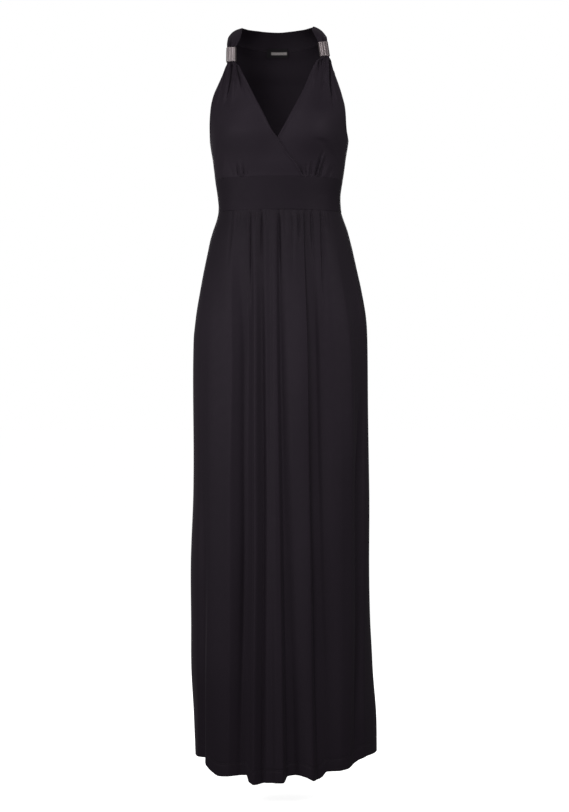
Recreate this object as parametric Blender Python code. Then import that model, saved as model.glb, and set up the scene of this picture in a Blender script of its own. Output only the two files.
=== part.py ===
"""Halter maxi dress of jersey, open and hollow, in the shape it has when it is worn.

A surplice bodice is gathered into two metal strap sleeves. A doubled neckband runs from sleeve to sleeve
round the back of the neck, a plain waistband lies under the bust, and two long skirt panels are gathered
to it.

The origin is midway between the tops of the neckband at the sides of the neck, where the neck carries it.
+X is the wearer's left, -Y the wearer's front and +Z up. Sizes are in millimetres, and mesh_object() turns
them into metres. An angle goes round a horizontal section: 0 at the wearer's right side, a quarter turn at
the front, half a turn at the left side. The back's angles are negative.
"""

from collections import namedtuple

import bpy
import numpy as np
from mathutils import Euler

MILLIMETRE = 0.001

# Cloth and seams
CLOTH = 1.2
BAND_CLOTH = 2.0
LABEL_CLOTH = 1.0
SEAM_GAP = 0.3
LAYER_GAP = 0.4

# Heights, from the neck down
UNDERARM = -222.0
UNDERBUST_SEAM = -293.0
WAIST_SEAM = -354.0
KNEE = -930.0
HEM = -1385.0

# The figure's horizontal section at each height: its middle's x, half breadth and depths to front and back.
Section = namedtuple("Section", "z middle half front back")
SECTIONS = (
    Section(-1385, 14.6, 172.7, 130, 133),
    Section(-1307, 11.9, 174.0, 128, 132),
    Section(-1212, 5.2, 172.6, 126, 130),
    Section(-1117, 2.8, 169.8, 123, 127),
    Section(-1022, 1.9, 169.1, 120, 125),
    Section(-880, 4.1, 166.9, 116, 121),
    Section(-690, 3.5, 165.6, 112, 118),
    Section(-595, 3.4, 164.0, 110, 118),
    Section(-557, 4.0, 161.3, 109, 118),
    Section(-500, 3.8, 153.0, 106, 116),
    Section(-462, 3.3, 146.0, 103, 112),
    Section(-424, 3.0, 137.6, 99, 106),
    Section(-404, 2.5, 132.6, 97, 101),
    Section(-385, 2.6, 126.8, 94, 96),
    Section(-366, 2.3, 120.0, 91, 91),
    Section(-354, 1.6, 117.1, 90, 89),
    Section(-342, 1.2, 116.3, 90, 88),
    Section(-324, 0.4, 117.0, 91, 88),
    Section(-293, 0.0, 121.3, 94, 90),
    Section(-256, 0.1, 125.9, 97, 94),
    Section(-222, 0.2, 131.1, 99, 98),
    Section(-200, 0.0, 133.0, 100, 100),
    Section(-175, 0.0, 138.0, 98, 102),
    Section(-150, 0.0, 141.0, 92, 102),
    Section(-125, 0.0, 139.0, 86, 100),
    Section(-100, 0.0, 131.0, 79, 96),
    Section(-81, 0.0, 122.0, 74, 91),
    Section(-46, 0.0, 105.0, 68, 84),
    Section(-20, 0.0, 94.0, 64, 78),
)
SQUARENESS = 2.3

# The two cups push the front out round these places.
CUP_X = 64.0
CUP_Z = -206.0
CUP_RISE = 17.0
CUP_TURN = 0.48
CUP_ABOVE = 62.0
CUP_BELOW = 44.0
CUP_SIDE_FADE = 0.5

# Outer edge (armhole) of each front and of the back, as a distance from the middle.
ArmholePoint = namedtuple("ArmholePoint", "z right left back")
ARMHOLES = (
    ArmholePoint(-222, 131.0, 131.2, 131.1),
    ArmholePoint(-219, 130.3, 130.4, 130.3),
    ArmholePoint(-212, 129.4, 128.6, 129.0),
    ArmholePoint(-202, 128.8, 126.2, 128.0),
    ArmholePoint(-183, 127.2, 123.4, 126.0),
    ArmholePoint(-160, 125.2, 122.2, 123.2),
    ArmholePoint(-138, 120.2, 117.2, 117.0),
    ArmholePoint(-115, 111.0, 110.8, 108.6),
    ArmholePoint(-92, 101.6, 103.0, 100.2),
    ArmholePoint(-74, 96.2, 97.6, 95.0),
    ArmholePoint(-46, 88.0, 88.0, 90.5),
    ArmholePoint(-24, 80.0, 80.0, 86.0),
)
ARMHOLE_EASE = 10.0

# Inner edge of each front. Below the point of the V it is the crossing edge, which passes the middle.
InnerPoint = namedtuple("InnerPoint", "z right left")
INNER_EDGES = (
    InnerPoint(-293, 46.0, -50.0),
    InnerPoint(-280, 37.5, -42.0),
    InnerPoint(-267, 29.0, -33.0),
    InnerPoint(-250, 14.2, -20.0),
    InnerPoint(-236, 5.5, -9.5),
    InnerPoint(-223, -2.6, -2.4),
    InnerPoint(-209, -12.5, 6.3),
    InnerPoint(-184, -24.0, 19.7),
    InnerPoint(-156, -37.0, 34.6),
    InnerPoint(-127, -52.3, 47.0),
    InnerPoint(-110, -61.5, 53.5),
    InnerPoint(-92, -70.5, 61.0),
    InnerPoint(-74, -78.6, 70.0),
    InnerPoint(-60, -79.0, 76.0),
)
V_POINT = -223.0
LIFT_FROM_X = -112.0
LIFT_TO_X = -58.0
LIFT_FADE = 46.0
LIFT_HEAD = 8.0

# Strap sleeves: each one's centre and lean, in degrees. A positive out leans its foot away from the middle.
Sleeve = namedtuple("Sleeve", "x y z out back turn")
SLEEVES = {
    "right": Sleeve(-88.4, -52.0, -60.6, -2.0, 14.0, -9.0),
    "left": Sleeve(85.3, -52.0, -51.2, 6.0, 14.0, 9.0),
}
SLEEVE_WIDTH = 19.2
SLEEVE_DEPTH = 9.6
SLEEVE_HEIGHT = 29.0
SLEEVE_WALL = 1.0
SLEEVE_ROUNDING = 0.4
SLEEVE_SQUARENESS = 3.2
FLUTES = 16
FLUTE_DEPTH = 0.25
BUNDLE_WIDTH = 15.6
BUNDLE_WAVE = 2.3
BUNDLE_WAVES = 1.5
BUNDLE_EASE = 19.0
FRONT_ENTRY = 9.0
BAND_ENTRY = 9.0

# The neckband's upper and lower edges from above the right sleeve, round the nape, to above the left one
BandStation = namedtuple("BandStation", "top_x top_y top_z low_x low_y low_z bulge")
BAND_STATIONS = (
    BandStation(-78.0, -39, -28, -97.0, -38, -36, 1.0),
    BandStation(-75.0, -24, -14, -97.0, -20, -29, 2.4),
    BandStation(-72.0, -4, -2, -96.5, 2, -22, 3.6),
    BandStation(-69.5, 16, 2, -91.0, 24, -22, 3.6),
    BandStation(-62.0, 37, 2, -80.0, 46, -25, 3.0),
    BandStation(-46.0, 57, 1, -57.0, 66, -29, 2.0),
    BandStation(-24.0, 69, 1, -29.0, 76.5, -32, 1.2),
    BandStation(0.0, 72, 1.4, 0.0, 80, -33, 1.0),
    BandStation(24.0, 69, 2.4, 29.0, 76.5, -32, 1.2),
    BandStation(45.0, 57, 2.5, 57.0, 66, -29, 2.0),
    BandStation(60.0, 37, 3, 80.0, 46, -25, 3.0),
    BandStation(65.5, 16, 2, 89.0, 24, -22, 3.6),
    BandStation(67.0, -4, -1, 93.0, 2, -20, 3.6),
    BandStation(70.0, -24, -9, 93.5, -20, -24, 2.4),
    BandStation(74.0, -39, -20, 93.5, -38, -29, 1.0),
)
BAND_PLEAT = 1.5
BAND_PLEAT_FADE = 46.0
BACK_EASE = 30.0
NAPE_STEPS = 2000

# Gathers under the sleeves, at shares across the front from the armhole to the inner edge
StrapGather = namedtuple("StrapGather", "side high low foot depth width")
STRAP_GATHERS = (
    StrapGather("right", 0.40, 0.36, -142, -3.4, 0.070),
    StrapGather("right", 0.16, 0.19, -156, -1.8, 0.075),
    StrapGather("right", 0.70, 0.68, -134, -2.0, 0.070),
    StrapGather("right", 0.86, 0.86, -118, -1.0, 0.050),
    StrapGather("right", 0.27, 0.27, -140, 1.4, 0.050),
    StrapGather("right", 0.55, 0.60, -128, 1.2, 0.080),
    StrapGather("left", 0.62, 0.66, -104, -2.4, 0.060),
    StrapGather("left", 0.08, 0.29, -164, -2.6, 0.045),
    StrapGather("left", 0.47, 0.57, -158, -1.8, 0.075),
    StrapGather("left", 0.76, 0.80, -112, -1.2, 0.050),
    StrapGather("left", 0.20, 0.40, -140, 1.2, 0.060),
    StrapGather("left", 0.56, 0.60, -110, 1.2, 0.050),
)

STRAP_GATHER_HEAD = -75.0
STRAP_GATHER_FADE = (-72.0, -86.0)

# Gathers over the underbust seam, at x on the seam and at the head of each.
CupGather = namedtuple("CupGather", "side seam_x head_x head depth width")
CUP_GATHERS = (
    CupGather("right", -79.0, -81.5, -268, -1.8, 3.6),
    CupGather("right", -73.0, -74.0, -274, 1.2, 3.0),
    CupGather("right", -66.0, -66.5, -270, -1.6, 3.4),
    CupGather("left", 50.0, 47.0, -274, -1.4, 3.0),
    CupGather("left", 58.0, 56.0, -270, -1.6, 3.0),
    CupGather("left", 66.0, 79.0, -246, -2.6, 3.6),
    CupGather("left", 70.5, 81.5, -252, 1.4, 3.0),
    CupGather("left", 74.5, 86.0, -258, -2.2, 3.4),
    CupGather("left", 84.0, 97.0, -262, 1.2, 5.0),
    CupGather("left", 95.0, 104.0, -268, -1.4, 5.0),
)

CUP_GATHER_FOOT = 0.4
CUP_GATHER_RISE = 6.0
CUP_GATHER_FADE = (1.15, 0.35)

# Long folds of the skirt, at x at the waist, the knee and the hem. Each falls from its head to the hem. Its
# height changes from high to low, and its two flanks are as wide as right and left say.
LongFold = namedtuple("LongFold", "waist_x knee_x hem_x head high low right left")
FRONT_FOLDS = (
    LongFold(-146, -148, -143, -1060, 0.0, -5.0, 10, 7),
    LongFold(-104, -112, -116, -430, 1.5, 3.0, 26, 24),
    LongFold(-80, -88, -96, -450, 3.5, 4.0, 22, 6),
    LongFold(-62, -72, -82, -440, -7.0, -8.0, 9, 13),
    LongFold(-41, -38, -45, -400, 4.0, 6.0, 11, 9),
    LongFold(-28, -27, -31, -400, -3.0, -3.5, 8, 8),
    LongFold(-3, 2, 9, -390, 4.5, 8.0, 15, 7),
    LongFold(8, 14, 27, -410, -4.5, -9.0, 6, 15),
    LongFold(45, 48, 56, -400, 4.0, 5.5, 18, 8),
    LongFold(65, 72, 80, -420, -6.5, -7.0, 9, 10),
    LongFold(92, 101, 102, -430, 3.0, 3.5, 14, 22),
    LongFold(128, 140, 134, -520, -5.0, -5.0, 14, 9),
)
BACK_FOLDS = (
    LongFold(-126, -134, -130, -520, -4.5, -5.0, 10, 14),
    LongFold(-98, -104, -108, -440, 3.0, 4.0, 20, 15),
    LongFold(-66, -74, -79, -430, -5.5, -7.5, 11, 12),
    LongFold(-42, -48, -52, -410, 4.0, 5.5, 12, 9),
    LongFold(-20, -21, -18, -440, -4.5, -6.5, 9, 12),
    LongFold(6, 8, 15, -400, 4.5, 6.5, 14, 12),
    LongFold(34, 38, 46, -430, -5.0, -8.0, 11, 10),
    LongFold(58, 64, 70, -410, 3.5, 5.0, 11, 14),
    LongFold(84, 92, 98, -450, -5.0, -6.0, 12, 13),
    LongFold(110, 122, 126, -500, 3.0, 3.5, 16, 14),
)

# Short gathers at the waist seam, at x on the seam and at the foot of each.
WaistGather = namedtuple("WaistGather", "seam_x foot_x foot depth width")
FRONT_GATHERS = (
    WaistGather(-83.5, -91.0, -458, -2.4, 4.4),
    WaistGather(-76.0, -80.0, -420, 1.4, 5.0),
    WaistGather(-69.0, -70.0, -376, -1.6, 3.4),
    WaistGather(-55.0, -55.5, -480, 1.6, 3.6),
    WaistGather(-50.0, -50.0, -556, -4.0, 4.0),
    WaistGather(-43.0, -42.0, -392, -2.2, 3.0),
    WaistGather(-36.5, -38.0, -500, 1.6, 3.4),
    WaistGather(-30.0, -34.0, -570, -3.6, 3.8),
    WaistGather(-22.5, -23.0, -384, -2.0, 2.8),
    WaistGather(-8.0, -6.0, -450, 1.6, 6.0),
    WaistGather(1.5, 5.0, -600, -3.6, 4.2),
    WaistGather(12.0, 13.0, -372, -1.4, 3.6),
    WaistGather(24.5, 22.0, -440, -2.4, 3.6),
    WaistGather(32.0, 31.0, -400, 2.0, 4.0),
    WaistGather(38.5, 40.0, -382, -2.0, 3.0),
    WaistGather(46.0, 47.5, -390, -2.0, 3.2),
    WaistGather(49.5, 57.0, -640, -3.6, 4.0),
    WaistGather(58.0, 63.0, -430, 1.8, 3.4),
    WaistGather(65.0, 68.0, -470, -2.4, 4.0),
    WaistGather(72.0, 84.0, -610, 1.6, 4.0),
    WaistGather(79.0, 84.0, -400, -2.6, 3.8),
    WaistGather(92.0, 96.0, -420, 1.4, 8.0),
)
BACK_GATHERS = (
    WaistGather(-88.0, -94.0, -450, -2.2, 4.6),
    WaistGather(-79.0, -82.0, -400, 1.4, 4.4),
    WaistGather(-71.0, -76.0, -500, -3.0, 4.0),
    WaistGather(-60.0, -61.0, -390, -1.8, 3.4),
    WaistGather(-52.0, -54.0, -470, 1.8, 4.2),
    WaistGather(-44.0, -45.0, -400, -2.0, 3.2),
    WaistGather(-33.0, -34.0, -540, -3.6, 4.0),
    WaistGather(-25.0, -24.0, -420, 1.6, 4.0),
    WaistGather(-16.0, -15.0, -386, -2.0, 3.2),
    WaistGather(-4.0, -3.0, -480, -3.0, 4.2),
    WaistGather(8.0, 9.0, -430, 1.8, 5.0),
    WaistGather(18.0, 20.0, -560, -3.4, 4.0),
    WaistGather(28.0, 30.0, -392, -2.0, 3.2),
    WaistGather(38.0, 40.0, -450, -2.6, 4.0),
    WaistGather(47.0, 50.0, -410, 1.6, 4.2),
    WaistGather(57.0, 61.0, -520, -3.2, 4.0),
    WaistGather(68.0, 72.0, -396, -1.8, 3.4),
    WaistGather(80.0, 86.0, -460, -2.4, 4.4),
)
GATHER_START = 0.3
GATHER_RISE = 9.0
GATHER_SPREAD = 210.0
GATHER_FADE = (1.1, 0.35)
FOLD_EASE = 130.0
SIDE_FADE = 0.5

# The hem's height at x. It is a little higher at the sides and uneven from fold to fold.
HemPoint = namedtuple("HemPoint", "x front back")
HEM_POINTS = (
    HemPoint(-158, -1378, -1381),
    HemPoint(-139, -1377, -1383),
    HemPoint(-134, -1388, -1385),
    HemPoint(-122, -1399, -1387),
    HemPoint(-109, -1405, -1388),
    HemPoint(-75, -1402, -1385),
    HemPoint(-63, -1405, -1383),
    HemPoint(-55, -1413, -1382),
    HemPoint(-44, -1417, -1384),
    HemPoint(-25, -1413, -1388),
    HemPoint(10, -1412, -1390),
    HemPoint(17, -1402, -1389),
    HemPoint(36, -1400, -1386),
    HemPoint(50, -1403, -1384),
    HemPoint(64, -1409, -1383),
    HemPoint(76, -1408, -1385),
    HemPoint(92, -1397, -1388),
    HemPoint(112, -1395, -1389),
    HemPoint(131, -1389, -1387),
    HemPoint(143, -1382, -1384),
    HemPoint(155, -1376, -1380),
    HemPoint(168, -1372, -1376),
    HemPoint(187, -1371, -1371),
)

# Neck label, on the inside below the upper edge of the neckband
LABEL_HALF_WIDTH = 18.5
LABEL_TOP = -25.0
LABEL_FOOT = -44.0

# How finely each wall is divided
SKIRT_COLUMNS = {"front": (6, 46, 6), "back": (6, 34, 6)}
SKIRT_BREAKS = (0.0, 0.24, 0.80, 1.0)
SKIRT_ROWS = 16
ROW_CROWDING = 1.8
WAISTBAND_COLUMNS = 26
WAISTBAND_ROWS = 2
FRONT_COLUMNS = 26
BACK_COLUMNS = 22
SIDE_ROWS = 6
CHEST_ROWS = 14
BAND_COLUMNS = 44
BAND_ROWS = 6
SLEEVE_SIDES = 48
LABEL_COLUMNS = 6
LABEL_ROWS = 3
STEP = 1e-4
SHARP_ANGLE = 0.9

# Colour, roughness and metallic of each material
Finish = namedtuple("Finish", "colour roughness metallic")
JERSEY = Finish((0.020, 0.015, 0.021, 1.0), 0.75, 0.0)
PEWTER = Finish((0.24, 0.20, 0.21, 1.0), 0.35, 1.0)
SATIN = Finish((0.012, 0.011, 0.013, 1.0), 0.45, 0.0)


def curve(xs, ys):
    """A smooth function through the points (xs, ys), with xs in any order, that never overshoots them."""
    order = np.argsort(xs)
    xs = np.asarray(xs, float)[order]
    ys = np.asarray(ys, float)[order]
    step = np.diff(xs)
    slope = np.diff(ys) / step
    product = slope[:-1] * slope[1:]
    total = np.where(product > 0, slope[:-1] + slope[1:], 1.0)
    inner = np.where(product > 0, 2 * product / total, 0.0)
    tangent = np.concatenate([slope[:1], inner, slope[-1:]])

    def value(x):
        x = np.clip(x, xs[0], xs[-1])
        k = np.clip(np.searchsorted(xs, x, side="right") - 1, 0, len(step) - 1)
        t = (x - xs[k]) / step[k]
        rise = t * t * (3 - 2 * t)
        lead = t * (1 - t) ** 2 * tangent[k] - t * t * (1 - t) * tangent[k + 1]
        return ys[k] + rise * (ys[k + 1] - ys[k]) + lead * step[k]

    return value


def column(table, across, name):
    """The smooth function of one column of a table by another."""
    return curve([getattr(row, across) for row in table], [getattr(row, name) for row in table])


def smooth(value, start, end):
    """0 before start, 1 after end and a soft rise between; start may be the larger."""
    t = np.clip((value - start) / (end - start), 0.0, 1.0)
    return t * t * (3 - 2 * t)


def opening(z):
    """How far an armhole has opened at a height, steeply from 0 at the underarm to 1 a little above."""
    left = 1 - np.clip((z - UNDERARM) / ARMHOLE_EASE, 0.0, 1.0)
    return 1 - left**3


def crowded(count):
    """Shares from 0 to 1 that crowd towards both ends."""
    return (1 - np.cos(np.linspace(0, np.pi, count + 1))) / 2


def mix(a, b, share):
    share = np.asarray(share)[..., None]
    return a * (1 - share) + b * share


def unit(vectors):
    return vectors / np.linalg.norm(vectors, axis=-1, keepdims=True)


MIDDLE = column(SECTIONS, "z", "middle")
HALF = column(SECTIONS, "z", "half")
FRONT = column(SECTIONS, "z", "front")
BACK = column(SECTIONS, "z", "back")
ARM_EDGE = {side: column(ARMHOLES, "z", side) for side in ("right", "left", "back")}
INNER_EDGE = {side: column(INNER_EDGES, "z", side) for side in ("right", "left")}
HEM_EDGE = {face: column(HEM_POINTS, "x", face) for face in ("front", "back")}


# ---- The figure's section -------------------------------------------------------------------------


def radius(angle, z):
    """How far the section at z reaches from its middle at an angle."""
    depth = np.where(np.sin(angle) >= 0, FRONT(z), BACK(z))
    across = np.abs(np.cos(angle)) / HALF(z)
    through = np.abs(np.sin(angle)) / depth
    return (across**SQUARENESS + through**SQUARENESS) ** (-1 / SQUARENESS)


def place(angle, z, reach):
    """The point at an angle, a height and a reach from the section's middle."""
    x = MIDDLE(z) - reach * np.cos(angle)
    return np.stack(np.broadcast_arrays(x, -reach * np.sin(angle), z), axis=-1).astype(float)


def angle_at(x, z, face):
    """The angle of the section's point at x, on the front or on the back."""
    depth = FRONT(z) if face == "front" else BACK(z)
    share = np.clip(np.abs(x - MIDDLE(z)) / HALF(z), 0.0, 1.0)
    through = depth * (1 - share**SQUARENESS) ** (1 / SQUARENESS)
    angle = np.arctan2(through, MIDDLE(z) - x)
    return angle if face == "front" else -angle


def hollow_or_ridge(away, right, left):
    """A soft wave's height, 1 at its middle, at a distance away towards the wearer's left."""
    return np.exp(-((away / np.where(away < 0, right, left)) ** 2))


# ---- Walls ----------------------------------------------------------------------------------------


def surface_normals(surface, u, v):
    """Outward normals of surface(u, v), worked out from the surface itself, so that panels agree at seams."""
    along_u = surface(u + STEP, v) - surface(u - STEP, v)
    along_v = surface(u, v + STEP) - surface(u, v - STEP)
    normals = unit(np.cross(along_u, along_v))
    points = surface(u, v)
    outward = (normals[..., 0] * points[..., 0] + normals[..., 1] * points[..., 1]).sum()
    return normals if outward >= 0 else -normals


def levelled(normals, rows):
    """The normals with those of some rows turned level, so that a seam's rim is level too."""
    normals = normals.copy()
    normals[rows, :, 2] = 0.0
    return unit(normals)


def wall_mesh(outer, inner):
    """Vertices and triangles of a wall between two grids of points. Each cell is split along the same
    diagonal on both sides, so that the wall keeps its thickness."""
    rows, columns = outer.shape[:2]
    index = np.arange(rows * columns).reshape(rows, columns)
    under = index + rows * columns
    faces = []
    for i in range(rows - 1):
        for j in range(columns - 1):
            a, b, c, d = index[i, j], index[i, j + 1], index[i + 1, j + 1], index[i + 1, j]
            faces += [(a, b, c), (a, c, d)]
            a, b, c, d = under[i, j], under[i, j + 1], under[i + 1, j + 1], under[i + 1, j]
            faces += [(c, b, a), (d, c, a)]
    rim = [*index[0, :-1], *index[:-1, -1], *index[-1, :0:-1], *index[:0:-1, 0]]
    for a, b in zip(rim, rim[1:] + rim[:1]):
        below_a, below_b = a + rows * columns, b + rows * columns
        faces += [(b, a, below_a), (b, below_a, below_b)]
    return np.concatenate([outer.reshape(-1, 3), inner.reshape(-1, 3)]), faces


def facing_out(points, faces):
    """The faces, all turned over if the body is inside out."""
    corners = points[np.array(faces)]
    if np.linalg.det(corners).sum() < 0:
        return [face[::-1] for face in faces]
    return faces


def mesh_object(name, points, faces, material):
    mesh = bpy.data.meshes.new(name)
    faces = facing_out(points, faces)
    mesh.from_pydata((points * MILLIMETRE).tolist(), [], [[int(i) for i in face] for face in faces])
    mesh.shade_smooth()
    mesh.set_sharp_from_angle(angle=SHARP_ANGLE)
    mesh.materials.append(material)
    obj = bpy.data.objects.new(name, mesh)
    bpy.context.collection.objects.link(obj)
    return obj


def cloth_wall(name, surface, u, v, thickness, material, level_rows=()):
    """A wall of cloth on surface(u, v), whose inner side lies its thickness inside the surface."""
    u, v = np.meshgrid(u, v)
    outer = surface(u, v)
    normals = levelled(surface_normals(surface, u, v), list(level_rows))
    points, faces = wall_mesh(outer, outer - thickness * normals)
    return mesh_object(name, points, faces, material)


# ---- Strap sleeves --------------------------------------------------------------------------------


def sleeve_frame(side):
    """A sleeve's centre and its axes: across to the wearer's left, outward, and up along the strap."""
    sleeve = SLEEVES[side]
    lean_out = np.radians(sleeve.out if side == "right" else -sleeve.out)
    turn = Euler((np.radians(-sleeve.back), lean_out, np.radians(sleeve.turn)), "XYZ").to_matrix()
    axes = np.array(turn)
    return np.array([sleeve.x, sleeve.y, sleeve.z]), axes[:, 0], -axes[:, 1], axes[:, 2]


def in_sleeve(side, across, outward, along):
    """The point at those distances from a sleeve's centre."""
    centre, right, out, up = sleeve_frame(side)
    across, outward, along = np.broadcast_arrays(across, outward, along)
    return centre + across[..., None] * right + outward[..., None] * out + along[..., None] * up


def bundle(side, share, along):
    """The gathered cloth inside a sleeve: a waved strip, share 0 at its outer edge and 1 at the inner one."""
    across = (share - 0.5) * BUNDLE_WIDTH * (1 if side == "right" else -1)
    outward = CLOTH / 2 + BUNDLE_WAVE * np.sin(2 * np.pi * BUNDLE_WAVES * share)
    return in_sleeve(side, across, outward, along)


def sleeve_outline(width, depth, flute):
    """The outline of a sleeve's section, a flat oval with soft flutes."""
    turn = np.linspace(0, 2 * np.pi, SLEEVE_SIDES, endpoint=False)
    across = np.abs(np.cos(turn)) / (width / 2)
    through = np.abs(np.sin(turn)) / (depth / 2)
    reach = (across**SLEEVE_SQUARENESS + through**SLEEVE_SQUARENESS) ** (-1 / SLEEVE_SQUARENESS)
    reach -= flute * (1 + np.cos(FLUTES * turn)) / 2
    return reach * np.cos(turn), reach * np.sin(turn)


def make_sleeve(side, material):
    """A short flat tube of metal with rounded rims."""
    end = SLEEVE_HEIGHT / 2
    soft = SLEEVE_ROUNDING
    loops = (
        (0, -end + soft),
        (0, end - soft),
        (soft, end),
        (SLEEVE_WALL, end),
        (SLEEVE_WALL, -end),
        (soft, -end),
    )
    rings = []
    for inset, along in loops:
        flute = FLUTE_DEPTH if inset < SLEEVE_WALL else 0.0
        across, outward = sleeve_outline(SLEEVE_WIDTH - 2 * inset, SLEEVE_DEPTH - 2 * inset, flute)
        rings.append(in_sleeve(side, across, outward, along))
    faces = []
    for k in range(len(rings)):
        for i in range(SLEEVE_SIDES):
            j = (i + 1) % SLEEVE_SIDES
            low = k * SLEEVE_SIDES
            high = (k + 1) % len(rings) * SLEEVE_SIDES
            faces += [(low + i, low + j, high + j), (low + i, high + j, high + i)]
    return mesh_object("strap_sleeve_" + side, np.concatenate(rings), faces, material)


# ---- Bodice ---------------------------------------------------------------------------------------


def cups(angle, z):
    """How far the cups stand out from the figure's section."""
    rise = 0.0
    for side in (-1, 1):
        middle = angle_at(side * CUP_X, CUP_Z, "front")
        tall = np.where(z > CUP_Z, CUP_ABOVE, CUP_BELOW)
        rise = rise + CUP_RISE * np.exp(-(((angle - middle) / CUP_TURN) ** 2) - ((z - CUP_Z) / tall) ** 2)
    return rise * smooth(np.minimum(angle, np.pi - angle), 0.0, CUP_SIDE_FADE)


def strap_gathers(side, share, z):
    """The gathers that fan out below a sleeve."""
    height = 0.0
    for gather in STRAP_GATHERS:
        if gather.side != side:
            continue
        fall = smooth(z, STRAP_GATHER_HEAD, gather.foot)
        middle = gather.high + (gather.low - gather.high) * fall
        fade = (1 - fall) * smooth(z, *STRAP_GATHER_FADE)
        height = height + gather.depth * fade * np.exp(-(((share - middle) / gather.width) ** 2))
    return height


def cup_gathers(side, x, z):
    """The short gathers that rise from the underbust seam into a cup."""
    height = 0.0
    for gather in CUP_GATHERS:
        if gather.side != side:
            continue
        climb = (z - UNDERBUST_SEAM) / (gather.head - UNDERBUST_SEAM)
        middle = gather.seam_x + (gather.head_x - gather.seam_x) * climb
        full = UNDERBUST_SEAM + CUP_GATHER_RISE
        start = CUP_GATHER_FOOT + (1 - CUP_GATHER_FOOT) * smooth(z, UNDERBUST_SEAM, full)
        fade = start * smooth(climb, *CUP_GATHER_FADE)
        height = height + gather.depth * fade * np.exp(-(((x - middle) / gather.width) ** 2))
    return height


def over_layer(x, z):
    """How far the upper front stands off the figure so that it clears the front beneath it."""
    cross = smooth(x, LIFT_FROM_X, LIFT_TO_X)
    return (CLOTH + LAYER_GAP) * cross * smooth(z, V_POINT + LIFT_FADE, V_POINT + LIFT_HEAD)


def arm_angle(side, z):
    """The angle of a front's outer edge: the side seam up to the underarm, then the armhole."""
    seam = SEAM_GAP / 2 / HALF(z)
    x = ARM_EDGE[side](z)
    edge = angle_at(MIDDLE(z) - x, z, "front") * opening(z)
    turn = np.maximum(seam, edge)
    return turn if side == "right" else np.pi - turn


def front_surface(side):
    """One front: share goes from the side seam and armhole to the inner edge, z is the height."""

    def surface(share, z):
        start = arm_angle(side, z)
        end = angle_at(INNER_EDGE[side](z), z, "front")
        angle = start + (end - start) * share
        flat = place(angle, z, radius(angle, z))
        height = cups(angle, z) + cup_gathers(side, flat[..., 0], z) + strap_gathers(side, share, z)
        if side == "right":
            height = height + over_layer(flat[..., 0], z)
        figure = place(angle, z, radius(angle, z) + height)
        centre = SLEEVES[side].z
        along = (z - centre) / np.cos(np.radians(SLEEVES[side].back))
        mouth = centre - SLEEVE_HEIGHT / 2
        return mix(figure, bundle(side, share, along), smooth(z, mouth - BUNDLE_EASE, mouth + 1))

    return surface


def front_heights(side):
    """Heights of the rows: even beside the side seam, then crowding at the underarm and the sleeve."""
    top = SLEEVES[side].z - SLEEVE_HEIGHT / 2 + FRONT_ENTRY
    low = np.linspace(UNDERBUST_SEAM + SEAM_GAP / 2, UNDERARM, SIDE_ROWS + 1)
    return np.concatenate([low, UNDERARM + (top - UNDERARM) * crowded(CHEST_ROWS)[1:]])


def make_front(side, material):
    columns = np.linspace(0, 1, FRONT_COLUMNS + 1)
    heights = front_heights(side)
    return cloth_wall("front_bodice_" + side, front_surface(side), columns, heights, CLOTH, material, [0])


# ---- Neckband and back ----------------------------------------------------------------------------


def band_end(side):
    """The neckband's two last stations at a sleeve: in its mouth and inside it."""
    inner = BUNDLE_WIDTH / 2 * (1 if side == "right" else -1)
    ends = []
    for along in (SLEEVE_HEIGHT / 2, SLEEVE_HEIGHT / 2 - BAND_ENTRY):
        top = in_sleeve(side, inner, BAND_CLOTH / 2, along)
        low = in_sleeve(side, -inner, BAND_CLOTH / 2, along)
        ends.append(BandStation(*top, *low, 0.0))
    return ends


def band_edges():
    """The neckband's upper and lower edge points and its bulges, from the right sleeve to the left one."""
    stations = [*reversed(band_end("right")), *BAND_STATIONS, *band_end("left")]
    rows = np.array(stations)
    return rows[:, 0:3], rows[:, 3:6], rows[:, 6]


TOPS, LOWS, BULGES = band_edges()
LENGTHS = np.concatenate([[0], np.cumsum(np.linalg.norm(np.diff(TOPS + LOWS, axis=0) / 2, axis=1))])
TOP_EDGE = [curve(LENGTHS, TOPS[:, k]) for k in range(3)]
LOW_EDGE = [curve(LENGTHS, LOWS[:, k]) for k in range(3)]
BULGE = curve(LENGTHS, BULGES)


def band_edge(edge, s):
    return np.stack([axis(s) for axis in edge], axis=-1)


def band_surface(s, down):
    """The neckband: s is the length along it, down goes from its upper edge to its lower one."""
    top = band_edge(TOP_EDGE, s)
    low = band_edge(LOW_EDGE, s)
    radial = top + low
    radial[..., 2] = 0
    outward = unit(unit(radial) + np.array([0, 0, 1]))
    near_sleeve = smooth(np.minimum(s, LENGTHS[-1] - s), BAND_PLEAT_FADE, BAND_ENTRY)
    pleat = BAND_PLEAT * near_sleeve * np.sin(2 * np.pi * down)
    bulge = 4 * down * (1 - down) * BULGE(s) + pleat
    return mix(top, low, down) + bulge[..., None] * outward


def make_neckband(material):
    columns = np.linspace(0, LENGTHS[-1], BAND_COLUMNS + 1)
    rows = np.linspace(0, 1, BAND_ROWS + 1)
    return cloth_wall("neckband", band_surface, columns, rows, BAND_CLOTH, material)


def nape_span():
    """The lengths along the neckband between which the back is sewn to it."""
    s = np.linspace(0, LENGTHS[-1], NAPE_STEPS)
    x = LOW_EDGE[0](s)
    behind = LOW_EDGE[1](s) > 0
    inside = s[behind & (np.abs(x) <= ARMHOLES[-1].back)]
    return inside[0], inside[-1]


NAPE_START, NAPE_END = nape_span()


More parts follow.
